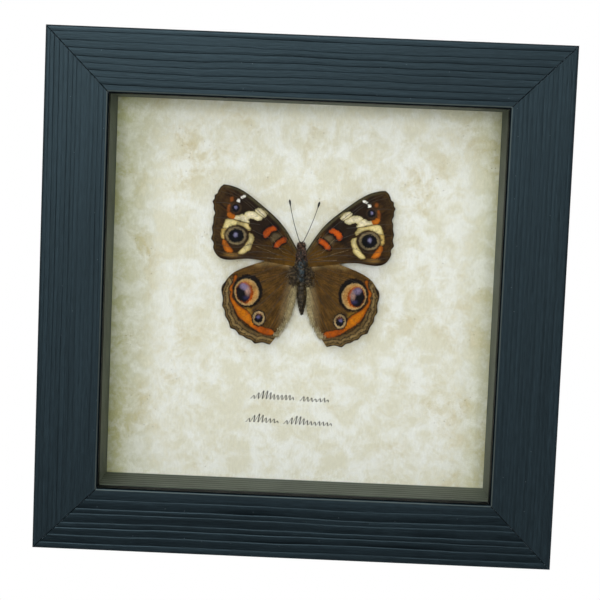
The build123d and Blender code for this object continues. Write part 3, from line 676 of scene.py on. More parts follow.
# Marks in mm: outlines of (out from the body, up from the thorax), an ellipse as (out, up, half width, half
# height, tilt), or a path of (out, up, half width)
foreMarks = {
    "dark": [[(20.6, 18.9), (17.0, 20.7), (12.7, 18.1), (8.7, 14.1), (6.7, 11.9), (7.8, 9.9), (12.3, 8.3),
              (14.5, 9.7), (16.0, 12.7), (17.0, 14.5), (19.7, 15.8)]],
    "band": [[(14.5, 16.9), (13.9, 17.3), (13.1, 17.3), (12.3, 16.8), (11.3, 15.7), (11.4, 15.2),
              (12.0, 14.9), (12.7, 15.2), (13.6, 15.8), (14.2, 16.4)],
             [(17.6, 15.7), (16.9, 16.1), (15.9, 16.3), (15.0, 16.3), (14.2, 15.9), (13.3, 15.3),
              (12.4, 14.8), (12.5, 14.3), (13.0, 14.1), (13.7, 13.9), (14.3, 14.0), (15.0, 14.3),
              (15.8, 14.4), (16.4, 14.3), (16.9, 14.7), (17.3, 15.1)],
             [(18.8, 15.3), (18.0, 15.3), (17.2, 15.0), (16.3, 14.5), (16.6, 14.1), (16.7, 13.8),
              (16.3, 13.3), (16.3, 13.0), (17.0, 13.1), (17.8, 13.3), (18.9, 13.7), (19.9, 13.9),
              (20.8, 14.1), (20.9, 14.6), (20.3, 14.8), (19.5, 14.9), (18.9, 15.0)]],
    "eyeCap": [[(23.1, 13.5), (22.3, 13.7), (21.5, 13.7), (20.4, 13.4), (19.4, 13.1), (18.4, 12.9),
                (17.4, 12.8), (16.8, 12.7), (16.5, 12.3), (16.3, 11.7), (16.0, 11.2), (16.1, 10.8),
                (16.5, 11.0), (16.9, 11.4), (17.6, 11.8), (18.4, 12.2), (19.2, 12.4), (19.8, 12.5),
                (20.4, 12.2), (21.0, 12.0), (21.7, 11.6), (22.3, 11.2), (23.0, 11.0), (23.8, 11.2),
                (23.7, 11.9), (23.5, 12.6), (23.3, 13.1)],
               [(16.0, 9.6), (15.4, 9.5), (15.0, 9.1), (14.8, 8.5), (14.9, 7.8), (15.2, 7.0), (15.5, 6.3),
                (15.6, 5.6), (16.0, 5.1), (16.7, 4.5), (17.3, 4.0), (18.1, 3.7), (18.8, 3.8), (18.7, 4.3),
                (18.1, 4.8), (17.5, 5.5), (17.0, 6.3), (16.5, 7.1), (16.1, 7.8), (15.9, 8.7)]],
    "capVeins": {"path": [(20.0, 12.2, 0.05), (19.8, 12.7, 0.06), (19.7, 13.2, 0.03)]},
    "capCut": {"path": [(15.0, 7.0, 0.07), (16.6, 6.6, 0.07)]},
    "yellow": [[(24.3, 10.8), (23.4, 10.9), (22.8, 10.7), (23.0, 10.2), (23.1, 9.4), (23.1, 8.7), (23.3, 8.0),
                (23.9, 7.8), (24.4, 8.4), (24.6, 9.1), (24.5, 9.9)]],
    "tan": (21.2, 3.1, 2.2, 0.6, 0),
    "orange": [[(23.9, 7.7), (23.2, 7.7), (22.7, 7.4), (22.4, 6.6), (22.0, 5.9), (21.5, 5.3), (21.1, 4.7),
                (20.8, 4.1), (21.5, 3.8), (22.3, 3.9), (23.0, 4.3), (23.6, 5.2), (24.0, 6.1), (24.1, 6.9)],
               [(22.8, 15.8), (21.9, 15.9), (21.5, 15.6), (20.7, 15.2), (20.5, 14.8), (20.6, 14.2),
                (21.3, 14.0), (22.1, 14.1), (22.7, 14.6), (23.0, 15.2)]],
    "dimOrange": [[(22.9, 16.0), (23.0, 17.0), (22.8, 18.0), (22.4, 18.4), (22.0, 18.1), (22.0, 17.2),
                   (22.1, 16.5), (22.3, 16.0)],
                  [(22.2, 20.3), (21.4, 20.5), (21.2, 19.5), (22.0, 19.2)]],
    "bars": [[(11.8, 10.5), (11.9, 9.5), (11.5, 8.8), (10.8, 8.8), (10.3, 9.3), (9.8, 10.1), (9.2, 10.7),
              (8.1, 11.0), (7.8, 11.4), (8.2, 12.0), (8.9, 12.4), (9.8, 12.1), (10.9, 11.5)],
             [(4.8, 8.5), (5.1, 9.0), (5.9, 9.1), (6.9, 8.4), (8.0, 7.5), (8.4, 6.8), (8.5, 6.0), (7.8, 5.8),
              (7.1, 6.0), (6.5, 6.7), (5.7, 7.3), (4.9, 7.7)]],
    "grey": [[(9.0, 9.9), (7.3, 10.0), (6.3, 9.3), (7.9, 8.0), (9.3, 7.7)]],
    "costaStreak": {"path": [(12.3, 17.3, 0.12), (11.4, 16.5, 0.18), (10.6, 15.8, 0.1)]},
    "white": [[(19.2, 20.7), (17.9, 21.2), (17.5, 20.6), (18.7, 20.2)],
              [(20.2, 19.8), (19.3, 20.0), (19.1, 19.4), (19.5, 19.0), (20.1, 19.1)]],
    "bigEye": (20.03, 8.97, 2.4, 2.08, 0), "bigPupil": (20.15, 9.2, 0.55, 0.66, 0),
    "smallEye": (20.35, 17.3, 1.2, 1.2, 0), "smallPupil": (20.45, 17.4, 0.42, 0.45, 0)}
foreLayers = [
    # mark, mm added to it, softness in mm, share, colour
    ("root", 10.0, 7.0, 0.85, "#563B10"), ("dark", 0.2, 1.1, 0.9, "#1D1208"),
    ("costa", 0.85, 0.25, 0.7, "#4B4630"), ("costa", 0.25, 0.12, 0.8, "#17120B"),
    ("margin", 2.2, 0.6, 0.3, "#4C3619"), ("margin", 1.15, 0.2, 0.4, "#1C130A"),
    ("margin", 0.8, 0.15, 0.5, "#4E3B1E"), ("margin", 0.3, 0.15, 0.85, "#1A120A"),
    ("costaStreak", 0.0, 0.12, 0.8, "#9A8C64"), ("grey", 0.0, 0.4, 0.4, "#6A5F48"),
    ("bars", 0.5, 0.2, 0.95, "#0D0805"), ("bars", 0.0, 0.14, 1.0, "#943F1D"),
    ("bars", -0.3, 0.2, 0.6, "#B0572C"), ("bigEye", 1.75, 0.5, 0.8, "#2E1F0D"),
    ("band", 0.16, 0.12, 1.0, "#BDB084"), ("band", -0.2, 0.3, 0.85, "#D2C8AE"),
    ("eyeCap", 0.25, 0.16, 1.0, "#A9945C"), ("eyeCap", -0.1, 0.3, 0.85, "#C8BA8A"),
    ("yellow", 0.0, 0.3, 0.95, "#BC9C58"), ("yellow", -0.4, 0.3, 0.6, "#CDB87C"),
    ("tan", 0.0, 0.35, 0.55, "#96713A"), ("orange", 0.0, 0.22, 1.0, "#A35A26"),
    ("orange", -0.5, 0.3, 0.6, "#BC7434"), ("dimOrange", 0.0, 0.3, 0.75, "#854A24"),
    ("capVeins", 0.0, 0.1, 0.55, "#4A3A20"), ("capCut", 0.0, 0.1, 0.5, "#4A3A20"),
    ("bigEye", 1.15, 0.3, 0.9, "#2A1C0E"), ("bigEye", 0.62, 0.14, 1.0, "#75664B"),
    ("bigEye", 0.0, 0.2, 1.0, "#08070A"), ("bigPupil", 0.25, 0.35, 0.5, "#2B2948"),
    ("bigPupil", 0.0, 0.25, 0.9, "#77748F"), ("smallEye", 0.5, 0.2, 0.8, "#3A2A1B"),
    ("smallEye", 0.0, 0.15, 1.0, "#0B0A0D"), ("smallPupil", 0.0, 0.22, 0.9, "#8580A6"),
    ("white", 0.0, 0.08, 1.0, "#E6E2DA")]
hindMarks = {
    "rim": (16.05, -7.7, 4.3, 4.85, -10), "rimHeavy": (15.6, -7.25, 4.15, 4.8, -12),
    "ring": (16.25, -7.95, 3.72, 4.05, -12), "disc": (16.85, -8.1, 2.65, 3.22, -10),
    "inner": (17.3, -8.2, 2.15, 2.95, -10), "pink": (15.75, -7.3, 0.6, 1.25, 8),
    "violet": (17.1, -6.3, 1.1, 0.9, 20), "blue": (16.4, -9.6, 0.75, 0.5, 0),
    "smallRim": (12.3, -15.7, 1.82, 2.15, 0), "smallBlush": (12.1, -14.6, 1.0, 0.6, 0),
    "smallPupil": (12.5, -15.4, 0.55, 0.5, 0),
    "pale": [[(0.9, -4.5), (2.4, -4.2), (3.3, -8.5), (3.9, -12.5), (4.3, -16.0), (3.3, -16.5), (1.9, -13.5),
              (0.9, -8.5)]],
    "greyish": [[(0.9, -4.5), (3.4, -3.8), (5.0, -9.0), (5.8, -14.0), (6.2, -19.0), (4.6, -18.4),
                 (2.4, -14.0), (0.9, -8.5)]],
    "topEdge": [[(2.5, 1.0), (8.0, 2.6), (14.0, 0.8), (13.0, 0.0), (8.0, 0.6), (3.0, -0.6)]],
    "rootPatch": (3.9, 0.7, 1.2, 0.4, 5),
    "band": {"path": [(19.75, -3.5, 0.45), (19.9, -4.4, 0.3), (20.2, -5.4, 0.15), (20.8, -6.4, 0.3),
                      (21.0, -7.2, 0.4), (20.6, -8.0, 0.3), (20.9, -9.0, 0.25), (20.8, -9.9, 0.3),
                      (20.0, -11.2, 0.5), (19.1, -12.5, 0.75), (18.1, -13.7, 1.1), (17.0, -14.7, 1.4),
                      (15.8, -15.8, 1.35), (14.5, -17.0, 1.05), (13.0, -18.3, 0.85), (11.5, -19.1, 0.75),
                      (10.0, -19.6, 0.85), (8.7, -19.8, 0.8), (8.0, -20.0, 0.45)]},
    "bandRed": {"path": [(13.6, -18.0, 0.3), (11.5, -19.2, 0.7), (10.0, -19.7, 0.8), (8.6, -19.9, 0.7)]},
    "blur": {"path": [(17.0, -12.6, 0.3), (15.6, -13.2, 0.5), (14.9, -14.4, 0.3)]},
    "ticks": {"towards": (12.0, -8.0), "length": 2.3, "half": 0.06}}
hindLayers = [
    ("root", 6.0, 4.0, 0.6, "#35260F"), ("topEdge", 0.0, 0.7, 0.6, "#87714B"),
    ("greyish", 0.0, 1.1, 0.6, "#78674A"), ("pale", 0.0, 0.8, 0.7, "#A0926E"),
    ("rootPatch", 0.0, 0.3, 0.8, "#AE9A78"), ("margin", 3.3, 0.2, 0.9, "#20150A"),
    ("margin", 2.9, 0.15, 1.0, "#604C2D"), ("margin", 2.1, 0.1, 0.95, "#20150B"),
    ("margin", 1.82, 0.1, 1.0, "#7A6541"), ("margin", 1.05, 0.1, 0.95, "#241809"),
    ("margin", 0.8, 0.1, 0.95, "#604D2E"), ("ticks", 0.0, 0.12, 0.85, "#20150A"),
    ("margin", 0.3, 0.12, 1.0, "#120B05"), ("blur", 0.3, 0.5, 0.6, "#93702F"),
    ("band", 0.4, 0.16, 0.9, "#1E140A"), ("band", 0.05, 0.2, 1.0, "#98501C"),
    ("band", -0.4, 0.35, 0.8, "#BC7228"), ("bandRed", 0.1, 0.4, 0.8, "#9C4820"),
    ("rim", 0.35, 0.3, 0.6, "#2A1C0D"), ("rimHeavy", 0.0, 0.25, 1.0, "#0F0905"),
    ("rim", 0.0, 0.18, 1.0, "#0F0905"), ("ring", 0.0, 0.14, 1.0, "#A2855A"),
    ("ring", -0.45, 0.2, 0.7, "#A87840"), ("disc", 0.0, 0.2, 1.0, "#96441A"),
    ("inner", 0.0, 0.3, 1.0, "#0B090D"), ("pink", 0.2, 0.45, 0.9, "#B08C80"),
    ("violet", 0.1, 0.5, 0.9, "#7A6D88"), ("blue", 0.0, 0.5, 0.6, "#3D3A66"),
    ("smallRim", 0.38, 0.15, 1.0, "#140D08"), ("smallRim", 0.0, 0.12, 1.0, "#9C8560"),
    ("smallRim", -0.55, 0.12, 1.0, "#0A080B"), ("smallBlush", 0.0, 0.25, 0.45, "#6B3E2C"),
    ("smallPupil", 0.0, 0.3, 0.85, "#625F8C")]
costaLine = [(0.6, 4.2), (3.4, 8.8), (5.9, 12.4), (13.4, 19.1), (19.7, 23.2), (24.3, 24.2)]
foreTeeth = [(24.3, 24.2), (25.8, 22.4), (26.9, 20.9), (27.5, 19.0), (27.1, 16.8), (27.0, 14.2), (27.4, 11.2),
             (27.5, 7.8), (26.8, 5.0)]
hindTeeth = [(22.7, -5.2), (23.8, -8.2), (23.5, -12.4), (22.5, -15.4), (20.8, -19.0), (18.0, -21.0),
             (15.9, -22.0), (13.2, -23.5), (8.6, -23.6)]


def smoothLine(points, closed, pieces=6):
    # drawn points, rounded by a Catmull-Rom curve through them
    points = [np.array(p, float) for p in points]
    count = len(points)
    line = []
    for i in range(count if closed else count - 1):
        around = [(i + k) % count if closed else min(max(i + k, 0), count - 1) for k in (-1, 0, 1, 2)]
        before, here, there, after = (points[k] for k in around)
        for step in range(pieces):
            t = step / pieces
            line.append(0.5 * (2 * here + (there - before) * t
                               + (2 * before - 5 * here + 4 * there - after) * t ** 2
                               + (3 * here - before - 3 * there + after) * t ** 3))
    return np.array(line + [line[0] if closed else points[-1]])


def lineDistance(places, line, widths=None):
    # distance of each place from a line, less its half width there
    best = np.full(len(places), 1e9)
    for i in range(len(line) - 1):
        start, span = line[i][:2], line[i + 1][:2] - line[i][:2]
        share = np.clip(((places - start) @ span) / max(span @ span, 1e-12), 0, 1)
        gap = np.linalg.norm(places - start - share[:, None] * span, axis=1)
        if widths is not None:
            gap = gap - (widths[i] + (widths[i + 1] - widths[i]) * share)
        best = np.minimum(best, gap)
    return best


def insideOf(places, line):
    crossings = np.zeros(len(places), int)
    for (x0, y0), (x1, y1) in zip(line[:-1], line[1:]):
        level = (places[:, 1] > min(y0, y1)) & (places[:, 1] <= max(y0, y1))
        slope = (x1 - x0) / (y1 - y0) if y1 != y0 else 0
        crossings += level & (places[:, 0] < x0 + (places[:, 1] - y0) * slope)
    return crossings % 2 == 1


def markDistance(places, mark):
    # mm from the edge of a mark, negative inside it
    if isinstance(mark, tuple):
        out, up, halfWidth, halfHeight, tilt = mark
        turn = math.radians(tilt)
        x, y = places[:, 0] - out, places[:, 1] - up
        across, along = x * math.cos(turn) + y * math.sin(turn), y * math.cos(turn) - x * math.sin(turn)
        size = np.hypot(across / halfWidth, along / halfHeight)
        return (size - 1) * min(halfWidth, halfHeight)
    if isinstance(mark, dict) and "towards" in mark:
        best = np.full(len(places), 1e9)
        for tooth in hindTeeth[1:-1]:
            way = np.subtract(mark["towards"], tooth)
            end = np.array(tooth) + way / np.linalg.norm(way) * mark["length"]
            best = np.minimum(best, lineDistance(places, np.array([tooth, end])) - mark["half"])
        return best
    if isinstance(mark, dict):
        path = smoothLine(mark["path"], False)
        return lineDistance(places, path[:, :2], path[:, 2])
    best = np.full(len(places), 1e9)
    for outline in mark:
        line = smoothLine(outline, True, 4)
        gap = lineDistance(places, line)
        best = np.minimum(best, np.where(insideOf(places, line), -gap, gap))
    return best


def wingPlaces(bm, side):
    # each vertex's place in the wing's own mm, out from the body and up from the thorax
    return np.array([((v.co.x / mm - specimenX) * side, v.co.z / mm - specimenZ) for v in bm.verts])


def wing(node, name, side, marks, teeth, material):
    bm = nodeCopy(node)
    rear = [face for face in bm.faces if face.normal.y > -0.5]
    bmesh.ops.delete(bm, geom=rear, context="FACES")
    low = Vector([min(v.co[i] for v in bm.verts) for i in range(3)])
    high = Vector([max(v.co[i] for v in bm.verts) for i in range(3)])
    step = wingShape["step"] * 1 * mm
    for axis in (0, 2):
        place = low[axis] + step / 2
        while place < high[axis]:
            origin, normal = Vector((0, 0, 0)), Vector((0, 0, 0))
            origin[axis], normal[axis] = place, 1
            reach = [f for f in bm.faces
                     if min(v.co[axis] for v in f.verts) < place < max(v.co[axis] for v in f.verts)]
            edges = {e for f in reach for e in f.edges}
            verts = {v for f in reach for v in f.verts}
            bmesh.ops.bisect_plane(bm, geom=list(verts) + list(edges) + reach, dist=0.002 * mm,
                                   plane_co=origin, plane_no=normal)
            place += step
    bmesh.ops.remove_doubles(bm, verts=bm.verts, dist=0.004 * mm)
    places = wingPlaces(bm, side)
    places = scalloped(places, teeth)
    angle = np.arctan2(places[:, 1], places[:, 0])
    radius = np.hypot(places[:, 0], places[:, 1])
    for vert, place, turn, out in zip(bm.verts, places, angle, radius):
        vert.co.x, vert.co.z = (specimenX + side * place[0]) * mm, (specimenZ + place[1]) * mm
        fold = wingShape["fold"] * math.cos(turn * wingShape["foldCount"])
        wave = wingShape["wave"] * noise.noise(Vector((
            out / wingShape["waveLength"], turn * wingShape["waveTurns"], side * 3 + len(node))))
        fold *= min(1, out / wingShape["foldFrom"])
        wave *= min(1, out / wingShape["waveFrom"])
        vert.co.y += (fold + wave) * mm
    bmesh.ops.recalc_face_normals(bm, faces=bm.faces)
    if sum(f.normal.y * f.calc_area() for f in bm.faces) > 0:
        bmesh.ops.reverse_faces(bm, faces=bm.faces)
    rows = bm.loops.layers.uv.new("scaleRows")
    bm.verts.index_update()
    for face in bm.faces:
        for loop in face.loops:
            loop[rows].uv = (angle[loop.vert.index] * wingShape["rowTurns"], radius[loop.vert.index])
    bmesh.ops.solidify(bm, geom=bm.faces[:], thickness=wingShape["thickness"] * mm)
    places = wingPlaces(bm, side)
    piece = newPiece(name, bm, material, "root", [node], 60)
    distances = {mark: markDistance(places, shape) for mark, shape in marks.items()}
    for mark in {"pink", "violet", "blue"} & set(marks):
        distances[mark] = np.maximum(distances[mark], distances["inner"])
    distances["margin"] = lineDistance(places, np.array(scallopLine(teeth)))
    distances["costa"] = lineDistance(places, smoothLine(costaLine, False))
    distances["root"] = np.hypot(places[:, 0], places[:, 1])
    for mark, values in distances.items():
        layer = piece.data.attributes.new(mark, "FLOAT", "POINT")
        layer.data.foreach_set("value", values.astype(np.float32))
    return piece


def toothDepths(teeth):
    # how much further in than the solids' each scallop goes; the first one bows out instead
    depths = random.Random(len(teeth))
    bow = wingShape["apexBow" if teeth is foreTeeth else "hindBow"]
    return [bow] + [wingShape["deeper"] * depths.uniform(-1, 2) for tooth in teeth[2:]]


def scallopDip(share, deeper):
    # rounded at the teeth, where the solids' arcs meet in points
    return (wingShape["scallop"] + deeper) * np.sin(np.pi * share) ** 2


def scalloped(places, teeth):
    moved = places.copy()
    outermost, innermost = wingShape["dipReach"]
    for start, end, deeper in zip(teeth, teeth[1:], toothDepths(teeth)):
        span = np.subtract(end, start)
        length = np.linalg.norm(span)
        inward = np.array([span[1], -span[0]]) / length
        share = (places - start) @ span / length ** 2
        reach = (places - start) @ inward
        near = (share > 0) & (share < 1) & (reach > outermost) & (reach < innermost)
        pull = scallopDip(share, deeper) - wingShape["scallop"] * 4 * share * (1 - share)
        moved[near] += (inward * (pull * (1 - np.maximum(reach, 0) / innermost))[:, None])[near]
    return moved


def scallopLine(teeth):
    # the outer margin: a dip between two teeth
    line, steps = [], 8
    for (x0, y0), (x1, y1), deeper in zip(teeth, teeth[1:], toothDepths(teeth)):
        length = math.hypot(x1 - x0, y1 - y0)
        for step in range(steps):
            share = step / steps
            dip = scallopDip(share, deeper)
            line.append((x0 + (x1 - x0) * share + (y1 - y0) / length * dip,
                         y0 + (y1 - y0) * share - (x1 - x0) / length * dip))
    return line + [teeth[-1]]


foreScales = scaledWing("forewingScales", foreLayers, "#211405", "#3B260C")
hindScales = scaledWing("hindwingScales", hindLayers, "#402B10", "#5D421B")
wings = {}
for side, word in bothSides:
    wings[word, "fore"] = wing(f"{word}_forewing", f"{word}ForewingScaled", side, foreMarks, foreTeeth,
                               foreScales)
    wings[word, "hind"] = wing(f"{word}_hindwing", f"{word}HindwingScaled", side, hindMarks, hindTeeth,
                               hindScales)
print("wings done")


# Veins: thin ribs that stand a little out of the membrane

foreVeins = [
    [(1.5, 3.6), (6.0, 9.4), (9.5, 13.0), (13.5, 16.6), (18.6, 20.6), (23.6, 23.0)],
    [(1.5, 3.0), (5.0, 5.4), (8.6, 6.2), (9.7, 8.6)],
    [(13.0, 12.6), (16.2, 12.9), (18.4, 13.25), (19.9, 13.65), (21.5, 13.95), (23.5, 14.1), (26.8, 14.2)],
    [(9.7, 8.6), (13.0, 9.9), (16.0, 11.0), (22.5, 11.2), (26.8, 10.9)],
    [(8.6, 6.2), (12.0, 6.4), (15.2, 6.6), (20.0, 5.4), (26.6, 6.4)],
    [(1.8, 2.4), (8.0, 4.0), (14.0, 4.4), (20.0, 3.2), (25.8, 4.2)],
    [(1.6, 1.8), (8.0, 2.5), (16.0, 2.7), (23.0, 2.5)],
    [(21.8, 18.4), (24.0, 18.8), (26.8, 18.6)],
    [(11.2, 14.0), (12.3, 14.9), (13.4, 15.55), (14.6, 16.5), (17.2, 18.8), (21.0, 21.0), (25.0, 22.1)]]
hindVeins = [
    [(1.6, 0.8), (7.0, 0.4), (13.0, -2.2), (18.6, -4.6), (23.0, -9.4)],
    [(1.6, 0.2), (7.0, -2.4), (12.4, -4.8)],
    [(1.8, -0.6), (6.0, -5.4), (10.5, -10.0), (15.0, -14.0), (20.4, -18.4)],
    [(1.6, -1.2), (4.6, -7.0), (8.4, -13.0), (12.0, -18.4), (15.6, -21.6)],
    [(1.4, -1.8), (3.6, -8.0), (6.4, -14.4), (9.6, -20.0), (11.6, -23.2)],
    [(1.3, -2.4), (2.8, -9.0), (5.0, -15.8), (7.8, -21.4)]]


veinSunk = 0.012  # mm of each rib's middle under the skin


def veins(name, lines, side, sheet, material, rootRadius=0.1, tipRadius=0.055):
    sheet.data.calc_loop_triangles()
    tree = BVHTree.FromPolygons([v.co for v in sheet.data.vertices],
                                [t.vertices for t in sheet.data.loop_triangles])
    strands = []
    for line in lines:
        strand = []
        curve = smoothLine(line, False, 5)
        for index, (out, up) in enumerate(curve):
            start = Vector(((specimenX + side * out) * mm, frontY * mm, (specimenZ + up) * mm))
            hit = tree.ray_cast(start, Vector((0, 1, 0)))[0]
            if hit is None:
                continue
            radius = rootRadius + (tipRadius - rootRadius) * index / (len(curve) - 1)
            strand.append((hit + Vector((0, veinSunk * mm, 0)), radius * mm))
        if len(strand) > 2:
            strands.append(strand)
    return joinedCurves(name, strands, material, 1)


paleVeins = [[(9.7, 9.1), (8.4, 7.7), (7.2, 6.0), (5.6, 4.6), (3.1, 3.9)],
             [(14.0, 6.1), (12.2, 5.5), (9.9, 4.8), (6.9, 3.5)],
             [(3.4, 6.6), (4.6, 8.4), (5.5, 10.2)], [(10.5, 2.8), (7.5, 2.6), (4.5, 2.9)]]
veinMaterial = hairMaterial("wingVeinCuticle", "#1C130A", "#33240F")
bareVein = hairMaterial("bareVeinCuticle", "#5C4C2E", "#8A7850")
for side, word in bothSides:
    veins(f"{word}ForewingVeins", foreVeins, side, wings[word, "fore"], veinMaterial)
    veins(f"{word}HindwingVeins", hindVeins, side, wings[word, "hind"], veinMaterial, 0.07, 0.03)
    veins(f"{word}PaleVeins", paleVeins, side, wings[word, "fore"], bareVein, 0.045, 0.035)
print("veins done")


# Body: turned forms, leant as the specimen leans

bodyShape = {"lean": -2.6, "sides": 72,
             "thorax": [(-4.25, 0), (-4.25, 0.9), (-3.9, 1.35), (-3.0, 1.75), (-1.6, 1.93), (0.2, 1.98),
                        (1.5, 1.9), (2.1, 1.74), (2.4, 1.72), (3.2, 1.64), (4.1, 1.46), (4.9, 1.26),
                        (5.4, 1.02), (5.5, 0)],
             "tail": -14.4, "waist": -4.3, "abdomenRadius": 1.45, "rings": 8, "ringSteps": 5,
             "ringGroove": -0.12, "ringSwell": 0.08, "waistRadius": 0.8,
             "headAt": 6.6, "headSize": (1.12, 1.08, 1.2), "headLumps": 0.3, "headLumpSize": 0.45,
             "eyeOut": 0.84, "eyeFront": -0.15, "eyeUp": 0.1, "eyeSize": (0.56, 0.7, 0.66)}
bodyPlace = (Matrix.Translation(Vector((specimenX, wingY, specimenZ)) * mm)
             @ Matrix.Rotation(math.radians(bodyShape["lean"]), 4, "Y") @ Matrix.Scale(mm, 4))


def turnedForm(name, profile, material, stands, roughness, bumps):
    # a profile of (along the body, radius) spun about the body's line, with an uneven skin
    bm = bmesh.new()
    verts = [bm.verts.new((radius, 0, along)) for along, radius in profile]
    edges = [bm.edges.new(pair) for pair in zip(verts, verts[1:])]
    bmesh.ops.spin(bm, geom=verts + edges, cent=(0, 0, 0), axis=(0, 0, 1), dvec=(0, 0, 0),
                   angle=2 * math.pi, steps=bodyShape["sides"], use_merge=True, use_normal_flip=False,
                   use_duplicate=False)
    bmesh.ops.remove_doubles(bm, verts=bm.verts, dist=0.001)
    bmesh.ops.recalc_face_normals(bm, faces=bm.faces)
    for vert in bm.verts:
        out = Vector((vert.co.x, vert.co.y, 0))
        if out.length > 0.01:
            lump = noise.noise(vert.co / bumps) + 0.5 * noise.noise(vert.co / bumps * 2.3)
            vert.co += out.normalized() * roughness * lump
    bmesh.ops.transform(bm, matrix=bodyPlace, verts=bm.verts)
    return newPiece(name, bm, material, "root", stands)


thoraxMaterial = hairedCuticle("thoraxCuticle", "#070707", "#372C1E", "#3F525B", 0.6, 0.35)
abdomenMaterial = hairedCuticle("abdomenCuticle", "#0A0704", "#4A3A1C", "#1D180D", 0.65)
headMaterial = hairedCuticle("headCuticle", "#0A0605", "#553A2A", "#1C1310", 0.55)
thoraxProfile = [tuple(place) for place in smoothLine(bodyShape["thorax"], False, 8)]
turnedForm("thoraxBody", thoraxProfile, thoraxMaterial, ["thorax"], 0.26, 0.6)


def abdomenRadius(share):
    # from the waist to the tail: widest a third of the way along, then tapering
    return bodyShape["abdomenRadius"] * (0.75 + 1.25 * share - 1.95 * share ** 2)


abdomenProfile = [(bodyShape["waist"], 0), (bodyShape["waist"], bodyShape["waistRadius"])]
ringSteps = bodyShape["ringSteps"]
for ring in range(bodyShape["rings"] * ringSteps):
    share = (ring + 1) / (bodyShape["rings"] * ringSteps)
    within = ring % ringSteps
    groove = bodyShape["ringSwell"] * math.sin(math.pi * within / ringSteps)
    if within == ringSteps - 1:
        groove = bodyShape["ringGroove"]
    abdomenProfile.append((bodyShape["waist"] - share * (bodyShape["waist"] - bodyShape["tail"]),
                           max(0.02, abdomenRadius(share) + groove)))
abdomenProfile[-1] = (bodyShape["tail"], 0)
turnedForm("abdomenRings", abdomenProfile, abdomenMaterial, ["abdomen"], 0.2, 0.5)


def ball(bm, place, size, segments=24):
    made = bmesh.ops.create_uvsphere(bm, u_segments=segments, v_segments=segments // 2, radius=1)
    stretched = Matrix.Translation(place) @ Matrix.Diagonal((*size, 1))
    bmesh.ops.transform(bm, verts=made["verts"], matrix=stretched)
    return made["verts"]


headForm = bmesh.new()
for vert in ball(headForm, (0, 0, bodyShape["headAt"]), bodyShape["headSize"], 32):
    lump = bodyShape["headLumps"] * noise.noise(vert.co / bodyShape["headLumpSize"])
    vert.co += lump * Vector((1, 1, 1))
bmesh.ops.transform(headForm, matrix=bodyPlace, verts=headForm.verts)
newPiece("headCapsule", headForm, headMaterial, "root", ["head"])
eyeForm = bmesh.new()
for side in (-1, 1):
    ball(eyeForm, (side * bodyShape["eyeOut"], bodyShape["eyeFront"],
                   bodyShape["headAt"] + bodyShape["eyeUp"]),
         bodyShape["eyeSize"])
bmesh.ops.transform(eyeForm, matrix=bodyPlace, verts=eyeForm.verts)
newPiece("facettedEyes", eyeForm, facettedEye(), "root", ["compound_eyes"])


def bodyPoint(x, y, along):
    return bodyPlace @ Vector((x, y, along))


def bodyWay(x, y, along):
    return (bodyPlace.to_3x3() @ Vector((x, y, along))).normalized()


# x, y, along the body, radius
palpShape = ((0.34, -0.1, 7.3, 0.26), (0.4, -0.25, 7.75, 0.27), (0.36, -0.3, 8.05, 0.12))
palpStrands = [[(bodyPoint(side * x, y, along), radius * mm) for x, y, along, radius in palpShape]
               for side in (-1, 1)]
joinedCurves("palps", palpStrands, hairMaterial("palpHair", "#1A120C", "#4A3424"), 4)
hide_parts("labial_palps")

# radii are (share of the length, radius there): a thin shaft that ends in a club
antennaShape = {"root": (0.42, -0.5, 7.55), "length": 13.4, "bow": 0.35,
                "angles": {"left": 13.1, "right": 22.6},
                "radii": ((0, 0.12), (0.25, 0.1), (0.5, 0.09), (0.75, 0.09), (0.855, 0.1), (0.89, 0.22),
                          (0.94, 0.35), (0.98, 0.3), (1.0, 0.1))}
antennaMaterial = hairMaterial("antennaCuticle", "#060505", "#14100D")
for side, word in bothSides:
    turn = math.radians(antennaShape["angles"][word])
    rootX, rootY, rootZ = antennaShape["root"]
    strand = []
    for share, radius in antennaShape["radii"]:
        along = share * antennaShape["length"]
        bow = antennaShape["bow"] * 4 * share * (1 - share)
        x = side * (rootX + along * math.sin(turn) + bow * math.cos(turn))
        z = rootZ + along * math.cos(turn) - bow * math.sin(turn)
        strand.append((bodyPoint(x, rootY, z), radius * mm))
    antenna = joinedCurves(word + "AntennaClubbed", [strand], antennaMaterial, 3)
    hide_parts(word + "_antenna")
print("body done")


# Hair: short tapered strands on the thorax, at the wing roots and along the hindwings' inner margins

hairTip = 0.15  # a tip's radius as a share of the root's
combing = {"together": 1.6, "astray": 0.3}


def hairs(name, strands, material, slot, thickness):
    bm = bmesh.new()
    for root, direction, length in strands:
        turn = direction.to_track_quat("Z", "Y").to_matrix().to_4x4()
        middle = Matrix.Translation(root + direction * length * mm / 2)
        bmesh.ops.create_cone(bm, cap_ends=False, segments=3, radius1=thickness * mm,
                              radius2=hairTip * thickness * mm, depth=length * mm, matrix=middle @ turn)
    return newPiece(name, bm, material, "root", (), 180)


rng = random.Random(11)
bodyTurn = bodyPlace.to_3x3().normalized()


def combed(direction, root, clump, spread):
    # neighbours within about a clump lean the same way, so that the hair lies in tufts
    bend = Vector([noise.noise(root / mm / clump + Vector((9.1 * axis, 0, 4.7))) for axis in range(3)])
    stray = Vector([rng.uniform(-1, 1) for axis in range(3)])
    return (direction + combing["together"] * spread * bend + combing["astray"] * spread * stray).normalized()


